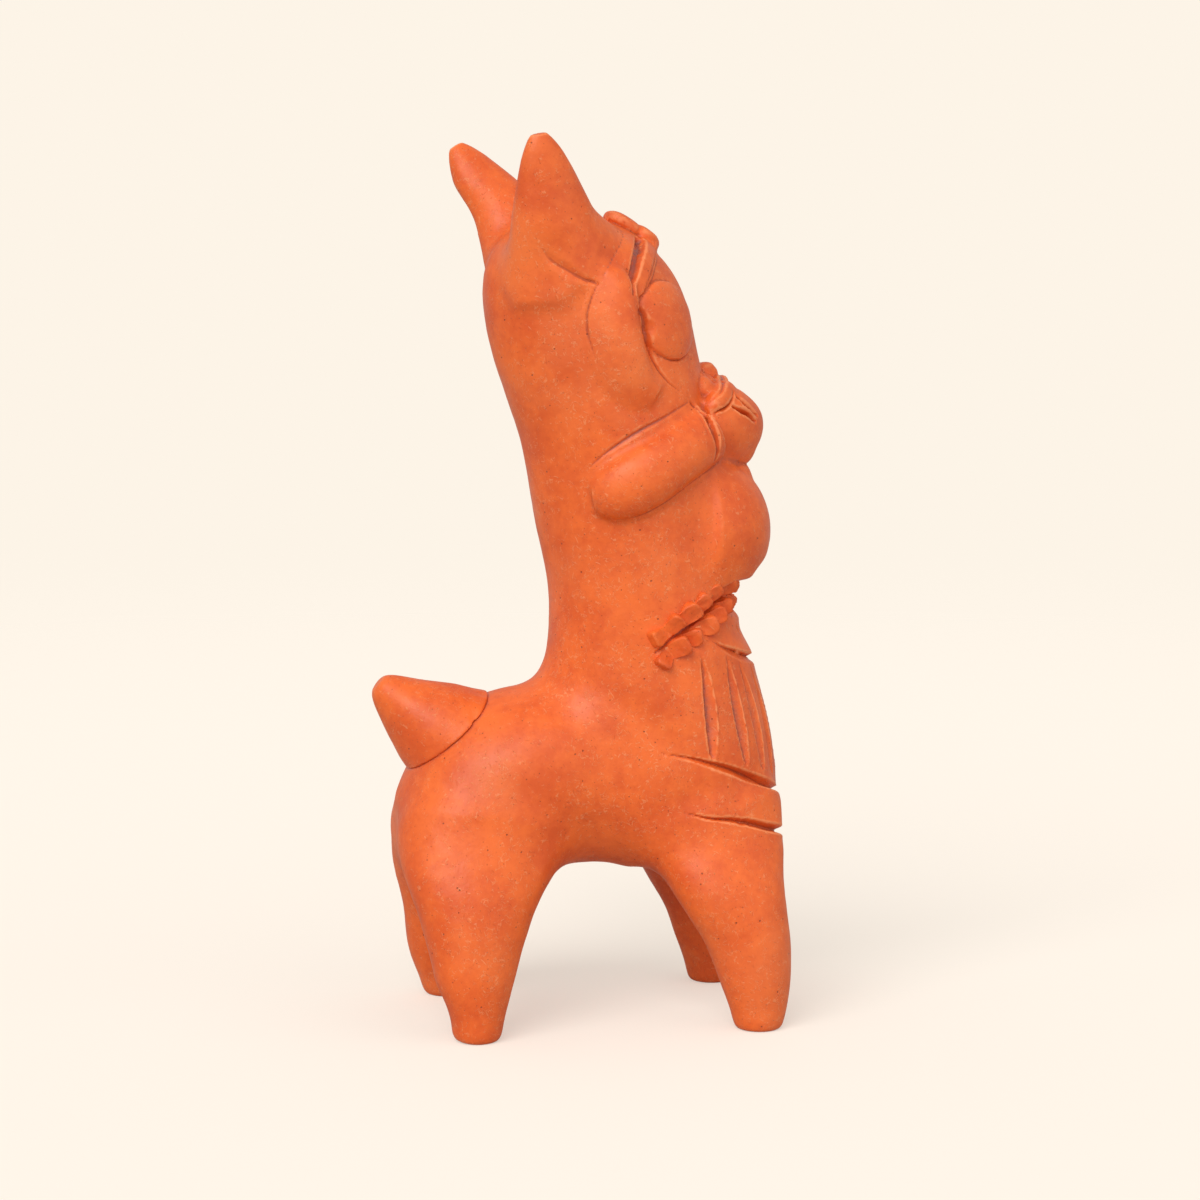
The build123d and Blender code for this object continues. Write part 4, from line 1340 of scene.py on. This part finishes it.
def clay_colour(tree, where, mottle, scratches, rubs, pits):
    """The layers of colour: fired body, painted highlight and shade, lines and pinholes."""
    colour = mix(tree, effect(tree, "fire_mottle", Patch_scale=mottle), CLAY_DARK, CLAY)
    bloom = ramp(tree, noise(tree, where, 38.0, 3.0, 0.55), 0.5, 0.72)
    colour = mix(tree, times(tree, bloom, 0.35), colour, CLAY_BLOOM_RUB_AND_HIGHLIGHT)
    # Ridges lighter: partly rubbed wear, partly painted highlight.
    colour = mix(tree, ramp(tree, mark(tree, "bend"), 0.25, 1.0, 0.0, 0.55), colour, CLAY_BLOOM_RUB_AND_HIGHLIGHT)
    # Painted highlight on the sharpest ridges.
    colour = mix(tree, ramp(tree, mark(tree, "bend"), 0.5, 1.0, 0.0, 0.2), colour, CLAY_PALE_AND_HIGHLIGHT)
    # Painted shade in the hollows, where the surface bends inwards.
    colour = mix(tree, ramp(tree, mark(tree, "bend"), -0.9, -0.15, 0.75, 0.0), colour, SHADE_AND_STREAK_DARK)
    colour = mix(tree, times(tree, rubs, 0.45), colour, SHADE_AND_STREAK_DARK)
    colour = mix(tree, times(tree, scratches, 0.3), colour, CLAY_PALE_AND_HIGHLIGHT)
    # Painted shade along the dark lines.
    colour = mix(tree, times(tree, mark(tree, "dark"), 0.6), colour, PAINTED_LINE_SHADE)
    patchy = ramp(tree, noise(tree, where, 900.0, 3.0), 0.35, 0.6, 0.45, 0.9)
    colour = mix(tree, times(tree, mark(tree, "purple"), patchy), colour, PURPLE)
    return mix(tree, times(tree, pits, 0.75), colour, PINHOLE)


def clay_material(name, roughness, mottle, share):
    """Burnished terracotta: its roughness, the scale of its mottle and its share of scratches."""
    material = bpy.data.materials.new(name)
    material.use_nodes = True
    tree = material.node_tree
    shader = tree.nodes["Principled BSDF"]
    shader.inputs["Specular IOR Level"].default_value = SHEEN_LEVEL
    where = place(tree, "ShaderNodeTexCoord").outputs["Object"]
    pits = math_node(tree, "MAXIMUM", effect(tree, "pinholes", Scale=360.0, Radius=0.15 * MM, Share=0.7),
                     times(tree, effect(tree, "pinholes", Scale=800.0, Radius=0.09 * MM, Share=0.8), 0.6))
    curls = effect(tree, "burnish_curls", Share=share)
    strokes = effect(tree, "burnish_strokes", Scale=300.0, Length=0.75 * MM, Width=0.09 * MM, Share=share)
    hairs = effect(tree, "burnish_strokes", Scale=750.0, Length=0.4 * MM, Width=0.05 * MM, Share=0.6)
    rubs = effect(tree, "burnish_strokes", Scale=620.0, Length=0.45 * MM, Width=0.05 * MM, Share=0.6)
    fine = math_node(tree, "MAXIMUM", curls, hairs)
    scratches = math_node(tree, "MAXIMUM", times(tree, fine, 0.8), strokes)
    tree.links.new(clay_colour(tree, where, mottle, scratches, rubs, pits), shader.inputs["Base Color"])
    gloss = minus(tree, ramp(tree, noise(tree, where, 160.0, 3.0), 0.3, 0.7, 0.0, 0.14),
                  times(tree, mark(tree, "purple"), 0.16))
    tree.links.new(plus(tree, gloss, roughness), shader.inputs["Roughness"])
    grain = plus(tree, times(tree, noise(tree, where, 1600.0, 3.0, 0.5, 0.8), 0.4),
                 times(tree, noise(tree, where, 600.0, 3.0), 0.5))
    cuts = plus(tree, pits, times(tree, rubs, 0.4))
    height = plus(tree, minus(tree, grain, cuts), times(tree, scratches, 0.3))
    bump = place(tree, "ShaderNodeBump", Height=height, Strength=BUMP_STRENGTH, Distance=BUMP_HEIGHT)
    tree.links.new(bump.outputs[0], shader.inputs["Normal"])
    return material


BURNISHED = clay_material("burnished_clay", 0.36, 90.0, 0.5)
PLAIT_CLAY = clay_material("plait", 0.40, 140.0, 0.3)
print("materials", BURNISHED.name, PLAIT_CLAY.name)

# %% Dress every piece
plait = path_mesh("clay_plaited_belt", belt_path, belt_out, LUMP_STEP)
modifier = plait.modifiers.new("plait", "NODES")
modifier.node_group = plait_tree()
plain_mesh(plait)
clay_pieces["plaited_belt"] = plait
for name, piece in clay_pieces.items():
    if name != "plaited_belt":
        piece.data.materials.append(BURNISHED)
    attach(piece, "figure")
    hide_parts(name)
tail_piece.data.materials.append(BURNISHED)
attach(tail_piece, "tail")
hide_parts("tail")
print("dressed", len(clay_pieces) + 1, "pieces")

# %% [markdown]
# ## Studio
#
# A pale cream sweep and big soft lights, as in a catalogue picture. The floor catches the shadow and fades
# into the cream of the world, which only the camera sees at full strength.

# %% Studio
CREAM = (0.982, 0.905, 0.800, 1.0)
FLOOR_CREAM = (0.960, 0.890, 0.800, 1.0)
FLOOR_BODY = (0.54, 0.50, 0.45, 1.0)
WORLD_LIGHT = (1.0, 0.97, 0.94, 1.0)
WORLD_LEVEL = 0.53
FLOOR_SIZE = 4.0
FLOOR_SOLID = 0.25
FLOOR_GONE = 1.1
FLOOR_LIFT = 0.50
LAMP_TINT = (1.0, 0.98, 0.96)


def make_world():
    world = bpy.data.worlds.new("cream_sweep")
    world.use_nodes = True
    tree = world.node_tree
    tree.nodes.clear()
    path = place(tree, "ShaderNodeLightPath")
    seen = math_node(tree, "MAXIMUM", path.outputs["Is Camera Ray"], path.outputs["Is Transmission Ray"])
    lit = place(tree, "ShaderNodeBackground", Color=WORLD_LIGHT, Strength=WORLD_LEVEL)
    shown = place(tree, "ShaderNodeBackground", Color=CREAM, Strength=1.0)
    both = place(tree, "ShaderNodeMixShader", _0=seen, _1=lit.outputs[0], _2=shown.outputs[0])
    output = tree.nodes.new("ShaderNodeOutputWorld")
    tree.links.new(both.outputs[0], output.inputs[0])
    bpy.context.scene.world = world


def make_floor():
    mesh = bpy.data.meshes.new("studio_floor")
    half = FLOOR_SIZE / 2
    corners = [(-half, -half, 0), (half, -half, 0), (half, half, 0), (-half, half, 0)]
    mesh.from_pydata(corners, [], [(0, 1, 2, 3)])
    floor = add_object("studio_floor", mesh)
    material = bpy.data.materials.new("floor_cream")
    material.use_nodes = True
    tree = material.node_tree
    tree.nodes.clear()
    where = place(tree, "ShaderNodeTexCoord").outputs["Object"]
    away = place(tree, "ShaderNodeVectorMath", {"operation": "LENGTH"}, _0=where).outputs["Value"]
    cream = place(tree, "ShaderNodeBsdfDiffuse", Color=FLOOR_BODY)
    seen = place(tree, "ShaderNodeLightPath").outputs["Is Camera Ray"]
    lift = place(tree, "ShaderNodeEmission", Color=FLOOR_CREAM, Strength=times(tree, seen, FLOOR_LIFT))
    lifted = place(tree, "ShaderNodeAddShader", _0=cream.outputs[0], _1=lift.outputs[0])
    clear = tree.nodes.new("ShaderNodeBsdfTransparent")
    gone = ramp(tree, away, FLOOR_SOLID, FLOOR_GONE)
    both = place(tree, "ShaderNodeMixShader", _0=gone, _1=lifted.outputs[0], _2=clear.outputs[0])
    output = tree.nodes.new("ShaderNodeOutputMaterial")
    tree.links.new(both.outputs[0], output.inputs[0])
    mesh.materials.append(material)


def soft_light(name, towards, level, softness):
    """A wide soft light from that direction; level 1 shows a facing surface in its own colour."""
    data = bpy.data.lights.new(name, "SUN")
    data.energy = level * math.pi
    data.angle = math.radians(softness)
    data.color = LAMP_TINT
    lamp = add_object(name, data)
    lamp.rotation_mode = "QUATERNION"
    lamp.rotation_quaternion = (-Vector(towards)).to_track_quat("-Z", "Y")


make_world()
make_floor()
soft_light("key_light", (-0.57, -0.77, 0.80), 0.62, 45.0)
soft_light("fill_light", (0.60, -0.90, 0.40), 0.17, 80.0)
bpy.context.scene.view_settings.view_transform = "Standard"
print("studio lit")
